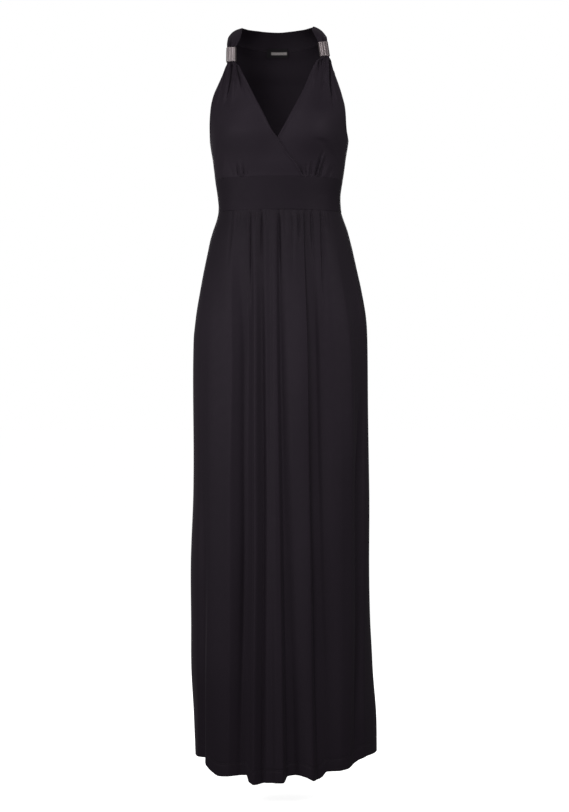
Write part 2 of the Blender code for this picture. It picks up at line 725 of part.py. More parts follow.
def back_surface(share, climb):
    """The back: share goes from the right to the left, climb from -1 at the underbust seam through 0 at the
    underarm to 1 at the neckband."""
    s = NAPE_START + (NAPE_END - NAPE_START) * share
    low = band_edge(LOW_EDGE, s)
    slope = unit(low - band_edge(TOP_EDGE, s))
    foot = UNDERBUST_SEAM + SEAM_GAP / 2
    top = low[..., 2] - SEAM_GAP
    z = UNDERARM + np.where(climb < 0, UNDERARM - foot, top - UNDERARM) * climb
    seam = SEAM_GAP / 2 / HALF(z)
    edge = -angle_at(MIDDLE(z) - ARM_EDGE["back"](z), z, "back") * opening(z)
    start = np.maximum(seam, edge)
    angle = -(start + (np.pi - 2 * start) * share)
    figure = place(angle, z, radius(angle, z))
    drop = low[..., 2] - z
    below_band = low + slope * (drop / -slope[..., 2])[..., None]
    return mix(below_band, figure, smooth(drop, 0.0, BACK_EASE))


def make_back(material):
    columns = np.linspace(0, 1, BACK_COLUMNS + 1)
    rows = np.concatenate([np.linspace(-1, 0, SIDE_ROWS + 1), crowded(CHEST_ROWS)[1:]])
    return cloth_wall("back_bodice", back_surface, columns, rows, CLOTH, material, [0])


def label_surface(x, z):
    """The label hangs just inside the neckband and the back at the nape."""
    s = LENGTHS[-1] / 2 + x
    low = band_edge(LOW_EDGE, s)
    slope = unit(low - band_edge(TOP_EDGE, s))
    level = unit(low * np.array([1.0, 1.0, 0.0]))
    hang = low + slope * ((low[..., 2] - z) / -slope[..., 2])[..., None]
    return hang - level * (BAND_CLOTH + 2 * SEAM_GAP)


def make_label(material):
    columns = np.linspace(-LABEL_HALF_WIDTH, LABEL_HALF_WIDTH, LABEL_COLUMNS + 1)
    rows = np.linspace(LABEL_TOP, LABEL_FOOT, LABEL_ROWS + 1)
    return cloth_wall("neck_label", label_surface, columns, rows, LABEL_CLOTH, material)


# ---- Waistband and skirt --------------------------------------------------------------------------


def half_round(face):
    """The angle at a share across the front or the back, between side seams half a seam gap away."""

    def angle(share, z):
        seam = SEAM_GAP / 2 / HALF(z)
        turn = seam + (np.pi - 2 * seam) * share
        return turn if face == "front" else -turn

    return angle


def waistband_surface(face):
    angle_of = half_round(face)

    def surface(share, z):
        angle = angle_of(share, z)
        return place(angle, z, radius(angle, z))

    return surface


def make_waistband(face, material):
    columns = np.linspace(0, 1, WAISTBAND_COLUMNS + 1)
    rows = np.linspace(UNDERBUST_SEAM - SEAM_GAP / 2, WAIST_SEAM + SEAM_GAP / 2, WAISTBAND_ROWS + 1)
    surface = waistband_surface(face)
    return cloth_wall("waistband_" + face, surface, columns, rows, CLOTH, material, [0, -1])


def long_fold(fold, face, angle, z):
    """The height of one long fold of the skirt."""
    x = curve((HEM, KNEE, WAIST_SEAM), (fold.hem_x, fold.knee_x, fold.waist_x))(z)
    middle = angle_at(x, z, face)
    away = (angle - middle) * radius(middle, z) * (1 if face == "front" else -1)
    down = smooth(z, fold.head + FOLD_EASE / 2, fold.head - FOLD_EASE)
    height = fold.high + (fold.low - fold.high) * smooth(z, WAIST_SEAM, HEM)
    return height * down * hollow_or_ridge(away, fold.right, fold.left)


def waist_gather(gather, face, angle, z):
    """The height of one short gather below the waist seam."""
    drop = (WAIST_SEAM - z) / (WAIST_SEAM - gather.foot)
    middle = angle_at(gather.seam_x + (gather.foot_x - gather.seam_x) * drop, z, face)
    away = (angle - middle) * radius(middle, z)
    width = gather.width * (1 + (WAIST_SEAM - z) / GATHER_SPREAD)
    start = GATHER_START + (1 - GATHER_START) * smooth(z, WAIST_SEAM, WAIST_SEAM - GATHER_RISE)
    fade = start * smooth(drop, *GATHER_FADE)
    return gather.depth * fade * hollow_or_ridge(away, width, width)


def skirt_height(face, angle, z):
    """How far the skirt's folds and gathers stand out from the section. They die out at the side seams."""
    folds, gathers = {"front": (FRONT_FOLDS, FRONT_GATHERS), "back": (BACK_FOLDS, BACK_GATHERS)}[face]
    height = sum(long_fold(fold, face, angle, z) for fold in folds)
    height = height + sum(waist_gather(gather, face, angle, z) for gather in gathers)
    return height * smooth(np.abs(np.sin(angle)), 0.0, SIDE_FADE)


def skirt_surface(face):
    """One skirt panel: share goes from the right side seam to the left, down from the waist to the hem."""
    angle_of = half_round(face)

    def surface(share, down):
        hem_angle = angle_of(share, HEM)
        hem_x = place(hem_angle, HEM, radius(hem_angle, HEM))[..., 0]
        top = WAIST_SEAM - SEAM_GAP / 2
        z = top + (HEM_EDGE[face](hem_x) - top) * down
        angle = angle_of(share, z)
        return place(angle, z, radius(angle, z) + skirt_height(face, angle, z))

    return surface


def make_skirt(face, material):
    parts = []
    for start, end, count in zip(SKIRT_BREAKS, SKIRT_BREAKS[1:], SKIRT_COLUMNS[face]):
        parts.append(np.linspace(start, end, count, endpoint=False))
    columns = np.concatenate([*parts, [1.0]])
    rows = np.linspace(0, 1, SKIRT_ROWS + 1) ** ROW_CROWDING
    return cloth_wall("skirt_" + face, skirt_surface(face), columns, rows, CLOTH, material, [0])


# ---- The dress ------------------------------------------------------------------------------------


def clear_scene():
    for obj in list(bpy.data.objects):
        bpy.data.objects.remove(obj, do_unlink=True)


def make_material(name, finish):
    material = bpy.data.materials.new(name)
    material.use_nodes = True
    shader = material.node_tree.nodes["Principled BSDF"]
    shader.inputs["Base Color"].default_value = finish.colour
    shader.inputs["Roughness"].default_value = finish.roughness
    shader.inputs["Metallic"].default_value = finish.metallic
    return material


def build():
    clear_scene()
    for side in ("right", "left"):
        make_front(side, make_material("front_jersey_" + side, JERSEY))
        make_sleeve(side, make_material("pewter_" + side, PEWTER))
    make_back(make_material("back_jersey", JERSEY))
    make_neckband(make_material("neckband_jersey", JERSEY))
    make_label(make_material("label_satin", SATIN))
    for face in ("front", "back"):
        make_waistband(face, make_material("waistband_jersey_" + face, JERSEY))
        make_skirt(face, make_material("skirt_jersey_" + face, JERSEY))


build()
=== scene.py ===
"""The halter maxi dress as it looks: fine jersey shells, sewing, metal strap sleeves, light and camera.

Each shell follows the form of the solid that it replaces, with more creases and a rounded rim. Sizes are in
millimetres in the frame's axes, and mesh_object() turns them into metres: +X is the wearer's left, -Y the
front, +Z up. An angle goes round a horizontal section: 0 at the wearer's right side, a quarter turn at the
front, half a turn at the left side. The back's angles are negative.
"""

from collections import namedtuple
from functools import partial

import bpy
import numpy as np
from mathutils import Euler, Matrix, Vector

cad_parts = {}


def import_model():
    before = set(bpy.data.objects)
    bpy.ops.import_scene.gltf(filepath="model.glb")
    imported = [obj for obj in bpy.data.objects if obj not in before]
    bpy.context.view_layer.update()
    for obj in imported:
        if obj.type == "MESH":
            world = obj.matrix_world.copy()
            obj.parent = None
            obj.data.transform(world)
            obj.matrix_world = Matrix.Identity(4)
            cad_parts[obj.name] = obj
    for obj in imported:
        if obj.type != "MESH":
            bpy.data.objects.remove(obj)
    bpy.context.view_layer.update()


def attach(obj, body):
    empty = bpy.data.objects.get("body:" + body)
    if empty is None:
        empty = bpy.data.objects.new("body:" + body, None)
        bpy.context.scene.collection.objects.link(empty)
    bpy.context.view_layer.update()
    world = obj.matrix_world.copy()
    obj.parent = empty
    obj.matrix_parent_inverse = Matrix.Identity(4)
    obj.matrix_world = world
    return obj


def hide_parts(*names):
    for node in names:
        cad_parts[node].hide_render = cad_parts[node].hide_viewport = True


MILLIMETRE = 0.001


def table(columns, *rows):
    """Rows with named columns."""
    row_type = namedtuple("Row", columns)
    return [row_type(*row) for row in rows]


# ---- Sizes ----

# Cloth, and how seams, edges and the turned hem look on it
CLOTH = 1.1
BAND_CLOTH = 1.9
LABEL_CLOTH = 0.6
LAYER_GAP = 0.5
RIM_ROUND = 0.45
SEAM_DIP = 0.6
SKIRT_TUCK = 0.4
SKIRT_HOLD = 2.5
BUST_SEAM_DIP = 0.1
SEAM_REACH = 1.5
EDGE_ROLL = 1.1
EDGE_REACH = 1.9
EDGE_INSET = 2.2
TURNED_HEM = 24.0
HEM_BULK = 0.7
HEM_THICKENS = (TURNED_HEM + 3, TURNED_HEM + 1)

# Heights, from the neck down, and how far the floor reaches
UNDERARM = -222.0
UNDERBUST_SEAM = -293.0
WAIST_SEAM = -354.0
KNEE = -930.0
HEM = -1385.0
FLOOR_Z = -1460.0
FLOOR_REACH = 60000.0

# The figure's horizontal section at each height
SECTIONS = table(
    "z middle half front back",
    (-1385, 14.6, 172.7, 130, 133),
    (-1307, 11.9, 174, 128, 132),
    (-1212, 5.2, 172.6, 126, 130),
    (-1117, 2.8, 169.8, 123, 127),
    (-1022, 1.9, 169.1, 120, 125),
    (-880, 4.1, 166.9, 116, 121),
    (-690, 3.5, 165.6, 112, 118),
    (-595, 3.4, 164, 110, 118),
    (-557, 4, 161.3, 109, 118),
    (-500, 3.8, 153, 106, 116),
    (-462, 3.3, 146, 103, 112),
    (-424, 3, 137.6, 99, 106),
    (-404, 2.5, 132.6, 97, 101),
    (-385, 2.6, 126.8, 94, 96),
    (-366, 2.3, 120, 91, 91),
    (-354, 1.6, 117.1, 90, 89),
    (-342, 1.2, 116.3, 90, 88),
    (-324, 0.4, 117, 91, 88),
    (-293, 0, 121.3, 94, 90),
    (-256, 0.1, 125.9, 97, 94),
    (-222, 0.2, 131.1, 99, 98),
    (-200, 0, 133, 100, 100),
    (-175, 0, 138, 98, 102),
    (-150, 0, 141, 92, 102),
    (-125, 0, 139, 86, 100),
    (-100, 0, 131, 79, 96),
    (-81, 0, 122, 74, 91),
    (-46, 0, 105, 68, 84),
    (-20, 0, 94, 64, 78),
)
SQUARENESS = 2.3

# The cups: their middles, how far they stand out, and how far they spread round and along the figure
CUP_X = 64.0
CUP_Z = -206.0
CUP_RISE = 17.0
CUP_TURN = 0.48
CUP_ABOVE = 62.0
CUP_BELOW = 44.0
CUP_SIDE_FADE = 0.5

# Outer edge (armhole) of each front and of the back, as a distance from the middle
ARMHOLES = table(
    "z right left back",
    (-222, 131, 131.2, 131.1),
    (-219, 130.3, 130.2, 130.1),
    (-212, 129.4, 127.8, 128.2),
    (-202, 128.8, 124.8, 126.4),
    (-183, 127.2, 121.4, 123.8),
    (-160, 125.2, 120.2, 121),
    (-138, 120.2, 115.6, 115.6),
    (-115, 111, 109.2, 108),
    (-92, 101.6, 101.8, 100),
    (-74, 96.2, 97, 95),
    (-46, 88, 88, 90.5),
    (-24, 80, 80, 86),
)
ARMHOLE_EASE = 10.0

# Inner edge of each front. Below the point of the V it is the crossing edge, which passes the middle.
INNER_EDGES = table(
    "z right left",
    (-293, 46, -50),
    (-280, 37.5, -42),
    (-267, 29, -33),
    (-250, 14.2, -20),
    (-236, 5.5, -9.5),
    (-223, -2.6, -2.4),
    (-209, -12, 4.6),
    (-184, -23.6, 17.2),
    (-156, -37, 30.9),
    (-127, -52.3, 46),
    (-110, -61.5, 53.2),
    (-92, -70.5, 61),
    (-74, -78.6, 70),
    (-60, -79, 76),
)
V_POINT = -223.0

# Where the right front lifts over the left one, and where the left one is tucked under it at the seam
LIFT_FROM_X = -112.0
LIFT_TO_X = -58.0
LIFT_FADE = 46.0
LIFT_HEAD = 8.0
UNDER_FROM_X = 38.0
UNDER_TO_X = 48.0
UNDER_FADE = 14.0
TUCK_HEIGHT = 28.0

# Strap sleeves: each one's centre, and its lean in degrees
Sleeve = namedtuple("Sleeve", "x y z out back turn")
SLEEVES = {
    "right": Sleeve(-89.2, -52.0, -61.6, -2.0, 14.0, -9.0),
    "left": Sleeve(84.3, -52.0, -51.2, 6.0, 14.0, 9.0),
}
SLEEVE_WIDTH = 19.2
SLEEVE_DEPTH = 9.6
SLEEVE_HEIGHT = 29.0
SLEEVE_WALL = 1.0
SLEEVE_SQUARENESS = 3.2
FLUTES = 10
FLUTE_DEPTH = 0.42
# Rings of a sleeve's rim, from the outside in: how far inside its outer form and short of its end each is,
# and how much of the flutes' depth is left
RIM_RINGS = table(
    "inset short flute",
    (0.08, 0.6, 0.8),
    (0.3, 0.2, 0.5),
    (0.6, 0, 0.2),
    (0.85, 0.15, 0),
    (SLEEVE_WALL, 0.5, 0),
)
RIM_START = 1.2

# The cloth in a sleeve: its width, how far below the mouth it gathers, and how far each piece enters
BUNDLE_WIDTH = 15.6
BUNDLE_EASE = 9.0
BUNDLE_SET = 1.0
FRONT_ENTRY = 9.0
BAND_ENTRY = 9.0

# Waves of the gathered cloth where it enters a sleeve: how many across it, how deep, and where they begin
BUNDLE_WAVES = table("waves depth start", (1.5, 1.5, 0.0), (4.0, 0.6, 1.1))

# The neckband's upper and lower edges from above the right sleeve, round the nape, to above the left one
BAND_STATIONS = table(
    "top_x top_y top_z low_x low_y low_z bulge",
    (-74, -39, -29, -97.6, -38, -36, 1),
    (-71, -24, -15, -97.2, -20, -28, 3.2),
    (-70, -4, -3.5, -96.6, 2, -21, 4.4),
    (-69, 16, 0.6, -92, 24, -21, 4.6),
    (-62, 37, 2.2, -80, 46, -25, 3.4),
    (-45, 57, 2.5, -57, 66, -29, 2),
    (-24, 69, 1.8, -29, 76.5, -32, 1.2),
    (0, 72, 1.4, 0, 80, -33, 1),
    (24, 69, 3, 29, 76.5, -32, 1.2),
    (45, 57, 4.2, 57, 66, -29, 2),
    (57, 37, 4.2, 78, 46, -24, 3.4),
    (66, 16, 3.6, 87, 24, -20, 5),
    (65, -4, 0, 88.6, 2, -17, 4),
    (62.8, -24, -8.6, 90.6, -20, -22, 3),
    (67.5, -39, -21, 90.6, -38, -28, 1.4),
)
# Pleats of the neckband at each sleeve: how far down its width, how deep and wide, and how long each runs
BAND_PLEATS = table(
    "side down depth width run",
    ("right", 0.66, -3, 0.060, 34),
    ("right", 0.82, 1.6, 0.080, 26),
    ("right", 0.50, 1.8, 0.090, 30),
    ("right", 0.22, -2.2, 0.060, 24),
    ("left", 0.58, -2.6, 0.060, 30),
    ("left", 0.74, 1.6, 0.080, 24),
    ("left", 0.40, 1.6, 0.090, 26),
    ("left", 0.18, -1.6, 0.050, 20),
)
PLEAT_START = 2.0

# The back's upper edge: how far down it follows the neckband's slope, and how its ends fade and are found
BACK_EASE = 30.0
NAPE_FADE = 4.0
NAPE_STEPS = 2000

# Creases of the fronts at the sleeves, over the underbust seam and at the sides. Each goes from its start
# down or up to where it has faded, and bends sideways on its way. A positive depth is a ridge.
CREASE_COLUMNS = "x z bend end_x end_z depth width"
RIGHT_CREASES = table(
    CREASE_COLUMNS,
    (-87, -64, 2.6, -96, -164, -6.2, 2.1),
    (-83.4, -64, 0.5, -76.5, -150, 2.6, 1.7),
    (-80.6, -64, -1.2, -64.5, -138, -4.8, 1.4),
    (-77.4, -64, -1, -60, -130, 1.8, 1.6),
    (-92.6, -64, 1, -102, -166, 2.8, 1.9),
    (-84.6, -64, 0.5, -86, -100, -2, 1.2),
    (-96.6, -70, 1, -114, -178, -3.2, 2.3),
    (-74, -92, -1, -58, -150, -2, 2.4),
    (-80, -70, 0, -15, -200, 2.4, 8),
    (-85, -110, 0, -83, -172, 1.6, 4.2),
    (-90.6, -64, 0, -93, -90, 1.8, 1),
    (-73, -302, 0, -78, -262, -3.2, 1.6),
    (-68.6, -302, 0, -71.6, -262, 2.4, 1.7),
    (-63.6, -302, 0, -65, -266, -3.2, 1.5),
    (-84, -300, 0, -90, -268, -1.2, 2.6),
    (-57.6, -300, 0, -58, -280, -1.6, 1.5),
    (-112, -304, 2, -100, -246, 2, 5),
    (-118, -258, 1, -104, -216, -1.6, 5),
)
LEFT_CREASES = table(
    CREASE_COLUMNS,
    (81, -55, 0, 78, -92, -4.6, 1.2),
    (77.4, -55, 0, 70, -108, -3.6, 1.4),
    (83.8, -55, 0, 82.4, -84, 1.8, 1.1),
    (73.5, -60, 0, 62, -136, 2.4, 2.4),
    (95.4, -55, -0.4, 95.6, -172, -5.8, 1.25),
    (92.8, -55, -0.4, 92.8, -150, 3, 1.3),
    (99.6, -74, 0, 104, -118, -2.8, 1.3),
    (85.5, -60, 0.5, 78.6, -146, -3.2, 3),
    (89.4, -58, 0, 89, -126, 2.2, 2),
    (82.6, -104, 0, 66, -176, -2, 4.2),
    (99, -84, 0, 108, -166, 1.8, 3),
    (72, -68, 0, 5.3, -225, -5, 9),
    (65.2, -302, 0, 78.6, -240, -4.6, 1.5),
    (73.8, -300, 0, 85.6, -252, -4, 1.6),
    (69.2, -300, 0, 82, -246, 3.8, 1.5),
    (43.6, -304, 0, 40.8, -272, -3, 2.4),
    (50.6, -304, 0, 49, -268, -3.2, 1.6),
    (59, -304, 0, 59.4, -264, -3.8, 2),
    (54.6, -304, 0, 54.2, -268, 1.8, 1.6),
    (82, -300, 0, 96, -258, 0.9, 3.2),
    (90, -300, 0, 102, -268, -1, 2.4),
    (66, -222, 0, 122, -278, -1.4, 7),
    (112, -256, 0, 100, -214, -1.6, 5),
)
CREASE_START = (-0.02, 0.14)
CREASE_FADE = (1.04, 0.45)
CREASE_CUSP = 1.5
SEAM_HOLD = 0.5
SEAM_RISE = 5.0

# Lines of the skirt's long folds, from the right side to the left: x and height at the waist, hip, knee and
# hem, whose levels are the stations. The cloth goes in a soft step, in radians, from each line to the next.
FOLD_STATIONS = (-400, -640, KNEE, HEM)
NARROWEST_STEP = 0.004
FOLD_COLUMNS = "waist_x hip_x knee_x hem_x waist hip knee hem"
FRONT_FOLDS = table(
    FOLD_COLUMNS,
    (-126, -153, -152, -152, 0, 0.5, 1.5, 1),
    (-120, -143, -144, -142, 0, -1.5, -3, -8),
    (-110, -130, -128, -134, 0, 0, 1, 3),
    (-102, -108, -104, -112, 0, 2, 2.5, 3),
    (-90, -84, -90, -93, 0.5, 4.5, 4, 3),
    (-82, -78, -78, -86, 0, -4.5, -8, -6),
    (-76, -70, -71, -78, 0, -10.5, -14.5, -13.5),
    (-66, -63, -63, -68, 0.5, -10, -12, -8),
    (-54, -52, -51, -54, 1.5, -2, -2, -1),
    (-43, -41, -41, -46, 2.5, 6.5, 6.5, 4.5),
    (-34, -32.5, -30, -32, -2.2, -6, -7, -6),
    (-25, -22, -20, -22, 1, -0.5, -0.5, 1.5),
    (-17, -17, -16, -13, 0, -0.5, 0, 1),
    (-9, -8, -5, -4, 2.5, 4.5, 4.5, 5.5),
    (-6, -4, 1, 8, 2.5, 4.5, 4.5, 6.5),
    (0.5, 4, 9, 16, -2, -6, -8, -11),
    (6, 11, 18, 28, -0.8, -4, -6, -12),
    (18, 20, 29, 42, 0.5, 1, -1, -5),
    (45, 50, 54, 61, 1.5, 6, 6, 4.5),
    (51, 58, 65, 77, -2, -8.5, -10, -9),
    (63, 73, 80, 94, -1.5, -10.5, -11.5, -9.5),
    (70, 79, 86, 103, 0.5, -4, -6, -6),
    (88, 108, 114, 116, 1.5, 9, 6, 1),
    (102, 126, 130, 127, 0.5, 9, 6, 1),
    (112, 143, 143, 137, 0, 0, 0, -2),
    (120, 158, 152, 146, 0, -7, -13, -5),
    (125, 162, 157, 153, 0, -6, -10, -4.5),
    (129, 165, 162, 162, 0, 0.5, 1, -0.5),
)
BACK_FOLDS = table(
    FOLD_COLUMNS,
    (-126, -154, -153, -154, 0, 0.5, 1, 0.5),
    (-118, -140, -142, -144, 0, -4.5, -8.5, -8),
    (-110, -124, -126, -128, 0, 0.5, 0, 0.5),
    (-98, -104, -106, -110, 0.5, 3.5, 4, 4),
    (-88, -90, -88, -94, -0.5, 2, 3, 3.5),
    (-80, -80, -77, -82, 0.5, -9.5, -12.5, -10.5),
    (-66, -69, -66, -68, 1, -7, -8.5, -8),
    (-50, -54, -53, -52, 1.5, 4.5, 4.5, 3.5),
    (-43, -44, -44, -42, -1.5, 3.5, 4, 3),
    (-34, -34, -30, -27, 0.5, -10.5, -12.5, -11),
    (-24, -22, -20, -14, 1.5, -4, -6, -7.5),
    (-12, -9, -6, 2, 1.5, 4, 4.5, 5.5),
    (-2, 4, 6, 17, -2, 5.5, 6, 6.5),
    (8, 13, 17, 28, 1, -8, -10.5, -11.5),
    (22, 24, 30, 38, 1, -5.5, -6.5, -7),
    (34, 40, 46, 52, -1.5, 1, 1, 1),
    (46, 54, 60, 68, 1.5, 5, 5.5, 5),
    (58, 64, 72, 80, -2, -9, -11, -8),
    (72, 76, 84, 92, 1, -5, -5, -5),
    (92, 98, 106, 112, 1, 3.5, 3.5, 3),
    (104, 116, 122, 128, 0, 1.5, 0, 0.5),
    (114, 134, 138, 142, 0, -6.5, -10, -8),
    (121, 145, 148, 152, 0, -4.5, -5, -5.5),
    (128, 156, 157, 164, 0, 0.5, 0.5, 0.5),
)

# Short gathers at the waist seam, at x on the seam and at the foot of each
GATHER_COLUMNS = "seam_x foot_x foot depth width"
FRONT_GATHERS = table(
    GATHER_COLUMNS,
    (-88, -94, -470, -2.6, 2.2),
    (-83, -84, -430, 1.1, 3.1),
    (-78.5, -79.5, -392, -0.9, 1.9),
    (-72.5, -73.5, -384, -1.2, 2),
    (-66, -67, -400, -0.8, 2.2),
    (-56.5, -56, -500, 2, 2.5),
    (-53.2, -51.8, -566, -4.6, 1.9),
    (-44.5, -45, -394, -2.2, 1.5),
    (-38.5, -38.5, -404, 1.3, 2),
    (-32.8, -34.8, -460, -3.2, 1.9),
    (-22.8, -22.4, -388, -2, 1.4),
    (-16, -16, -374, -0.8, 1.7),
    (0.2, 1.5, -500, -3, 1.8),
    (6, 6.5, -390, 0.9, 2),
    (11, 13.5, -420, -1.3, 1.7),
    (17.5, 18.5, -384, 0.7, 1.9),
    (24.3, 26.5, -476, -2.6, 2),
    (31.2, 31.8, -432, 2.2, 2.5),
    (37.3, 38.2, -436, -3.2, 1.7),
    (43, 43.5, -392, 1.1, 1.9),
    (48.5, 50.5, -440, -3, 1.7),
    (56.6, 57.6, -436, 2, 1.7),
    (62, 69, -476, -3.6, 2.2),
    (73.5, 78, -590, 1.6, 2.5),
    (79.6, 85.5, -600, -4.2, 2.2),
    (86, 89, -386, -1, 2.2),
    (93, 96, -400, -0.7, 2.5),
)
BACK_GATHERS = table(
    GATHER_COLUMNS,
    (-88, -94, -450, -2.2, 4.2),
    (-79, -82, -400, 1.4, 4),
    (-71, -76, -500, -3, 3.6),
    (-65.5, -67, -378, 0.9, 2.4),
    (-60, -61, -390, -1.8, 3),
    (-52, -54, -470, 1.8, 4),
    (-44, -45, -400, -2, 2.9),
    (-38.5, -39, -374, 0.9, 2.2),
    (-33, -34, -540, -3.6, 3.6),
    (-25, -24, -420, 1.6, 3.8),
    (-16, -15, -386, -2, 2.8),
    (-10, -9.5, -380, 1, 2.2),
    (-4, -3, -480, -3, 3.8),
    (8, 9, -430, 1.8, 4.6),
    (18, 20, -560, -3.4, 3.6),
    (23, 24.5, -376, 0.9, 2.2),
    (28, 30, -392, -2, 2.8),
    (38, 40, -450, -2.6, 3.6),
    (47, 50, -410, 1.6, 4),
    (57, 61, -520, -3.2, 3.6),
    (62.5, 66, -382, 0.9, 2.4),
    (68, 72, -396, -1.8, 3),
    (80, 86, -460, -2.4, 4),
)

# How the gathers and folds begin under the seam, spread, fade, and die out at the side seams
GATHER_START = 0.25
GATHER_RISE = 16.0
GATHER_SPREAD = 210.0
GATHER_FADE = (1.1, 0.35)
FOLD_START = 0.35
FOLD_RISE = 34.0
SIDE_FADE = 0.5

# The hem's edge: its height at x, on the front and on the back
HEM_POINTS = table(
    "x front back",
    (-158, -1378, -1381),
    (-139, -1377, -1383),
    (-134, -1388, -1385),
    (-122, -1399, -1387),
    (-109, -1405, -1388),
    (-75, -1402, -1385),
    (-63, -1400.5, -1383),
    (-57.5, -1413, -1382),
    (-44, -1417, -1384),
    (-25, -1413, -1388),
    (10, -1412, -1390),
    (17, -1402, -1389),
    (36, -1400, -1386),
    (50, -1403, -1384),
    (64, -1409, -1383),
    (76, -1408, -1385),
    (85, -1404, -1387),
    (94, -1395, -1388),
    (112, -1393.5, -1389),
    (131, -1390, -1387),
    (143, -1384, -1384),
    (155, -1377, -1380),
    (168, -1372, -1376),
    (187, -1371, -1371),
)

# Soft unevenness of the cloth: waves through space, as turns in a metre along each axis, with their height
WAVE_COLUMNS = "along_x along_y along_z phase height"
BODICE_WAVES = table(
    WAVE_COLUMNS,
    (9, 6, 4, 0.4, 0.22),
    (-14, 5, 9, 2.1, 0.16),
    (6, -9, 15, 4, 0.14),
    (21, 4, -11, 5.2, 0.08),
    (-5, 3, 24, 1.3, 0.06),
)
SKIRT_WAVES = table(
    WAVE_COLUMNS,
    (7, 5, 1.1, 0.9, 0.8),
    (-12, 4, 1.9, 2.6, 0.5),
    (17, -6, 0.8, 4.4, 0.35),
    (4, 9, -2.7, 1.7, 0.45),
    (25, 8, 1.4, 5.6, 0.18),
)
SKIRT_WAVE_FADE = 0.12

# The label, and how it lies and curls inside the neckband
LABEL_HALF_WIDTH = 18.5
LABEL_TOP = -29.0
LABEL_FOOT = -45.5
LABEL_GAP = 0.9
LABEL_CURL = 0.8
LABEL_TWIST = 0.4

# Grid lines of each shell: each mark is a place and the number of cells up to the next mark. The last row of
# a front is in its sleeve.
FRONT_ROWS = ((UNDERBUST_SEAM, 6), (-289, 56), (-226, 10), (-216, 62), (-120, 58))
FRONT_COLUMNS = ((0, 5), (0.02, 150), (0.98, 5), (1, 0))
BACK_ROWS = ((-1, 5), (-0.94, 34), (-0.05, 5), (0, 5), (0.05, 66), (0.985, 4), (1.003, 0))
BACK_COLUMNS = ((0, 5), (0.02, 96), (0.98, 5), (1, 0))
WAISTBAND_ROWS = ((0, 6), (0.08, 26), (0.92, 6), (1, 0))
WAISTBAND_COLUMNS = ((0, 5), (0.02, 100), (0.98, 5), (1, 0))
SKIRT_ROWS = ((0, 10), (0.008, 60), (0.26, 62), (0.968, 5), (0.973, 12), (0.985, 10), (1, 0))
SKIRT_COLUMNS = ((0, 4), (0.01, 34), (0.17, 214), (0.86, 30), (0.99, 4), (1, 0))
BAND_COLUMNS = ((0, 70), (0.2, 100), (0.8, 70), (1, 0))
BAND_ROWS = ((0, 3), (0.05, 40), (0.94, 4), (1, 0))
LABEL_COLUMNS = ((-1, 3), (-0.95, 40), (0.95, 3), (1, 0))
LABEL_ROWS = ((0, 3), (0.08, 20), (0.92, 3), (1, 0))
SLEEVE_SIDES = 200
SLEEVE_RINGS = 12
OUTLINE_DETAIL = 8

# The step along a surface that gives its slopes
STEP = 1e-4

# Stitches, with the thickness and lift of one at shares of its length, and how the cloth dips under them
STITCH_LENGTH = 2.6
STITCH_GAP = 0.7
STITCH_RADIUS = 0.22
STITCH_SIDES = 6
STITCH_PROFILE = table(
    "along thick lift",
    (0, 0.35, -0.12),
    (0.2, 0.9, 0.06),
    (0.5, 1, 0.12),
    (0.8, 0.9, 0.06),
    (1, 0.35, -0.12),
)
STITCH_DIP = 0.4
STITCH_REACH = 1.0
HEM_STITCH_ROWS = (TURNED_HEM, TURNED_HEM - 3.2)
HEM_STITCH_SPAN = (0.003, 0.997)
HEM_STITCH_POINTS = 700

# Camera, as it stood in front of the dress, in metres
CAMERA_X = 0.0105
CAMERA_Z = -0.720
CAMERA_DISTANCE = 4.0
VIEW_HEIGHT = 1.5428
SENSOR = 36.0

# Jersey: its colours and finish, and its painted shade: darker copies for the inside of the dress (the wrong
# side) and for the waistband, and darker colour fading down from the waist seam, for the gathers' shade.
# Noise is given by its scale, and also its detail where that isn't the usual one.
JERSEY_DARK = (0.0106, 0.0074, 0.0117)
JERSEY_MEAN = (0.0121, 0.0085, 0.0134)
JERSEY_LIGHT = (0.0136, 0.0096, 0.0151)
JERSEY_CLOUDS = (9.0, 3.0)
JERSEY_GLINT = (1.0, 0.88, 1.0, 1)
JERSEY_ROUGHNESS = (0.62, 0.70)
JERSEY_PATCHES = 60.0
JERSEY_SPECULAR = 0.22
JERSEY_SHEEN = 0.06
JERSEY_BLOOM = 0.45
KNIT_COLUMNS = {"Scale": 220.0, "Distortion": 1.2, "Detail": 1.0, "Detail Scale": 2.0}
KNIT_LOOPS = (1500.0, 1.0)
KNIT_BUMP = (0.12, 0.0002)
# Painted shade on the wrong side: its colour is darkened for the shade inside the dress; its gloss and sheen
# are duller too
WRONG_SIDE_PAINTED_SHADE = 0.55
# Painted shade on the waistband: a darker copy of the jersey
WAISTBAND_PAINTED_SHADE = 0.80
# Painted shade below the waist seam: the colour's share at the seam, and how far down it fades out
GATHER_PAINTED_SHADE = 0.66
GATHER_PAINTED_SHADE_REACH = 200.0

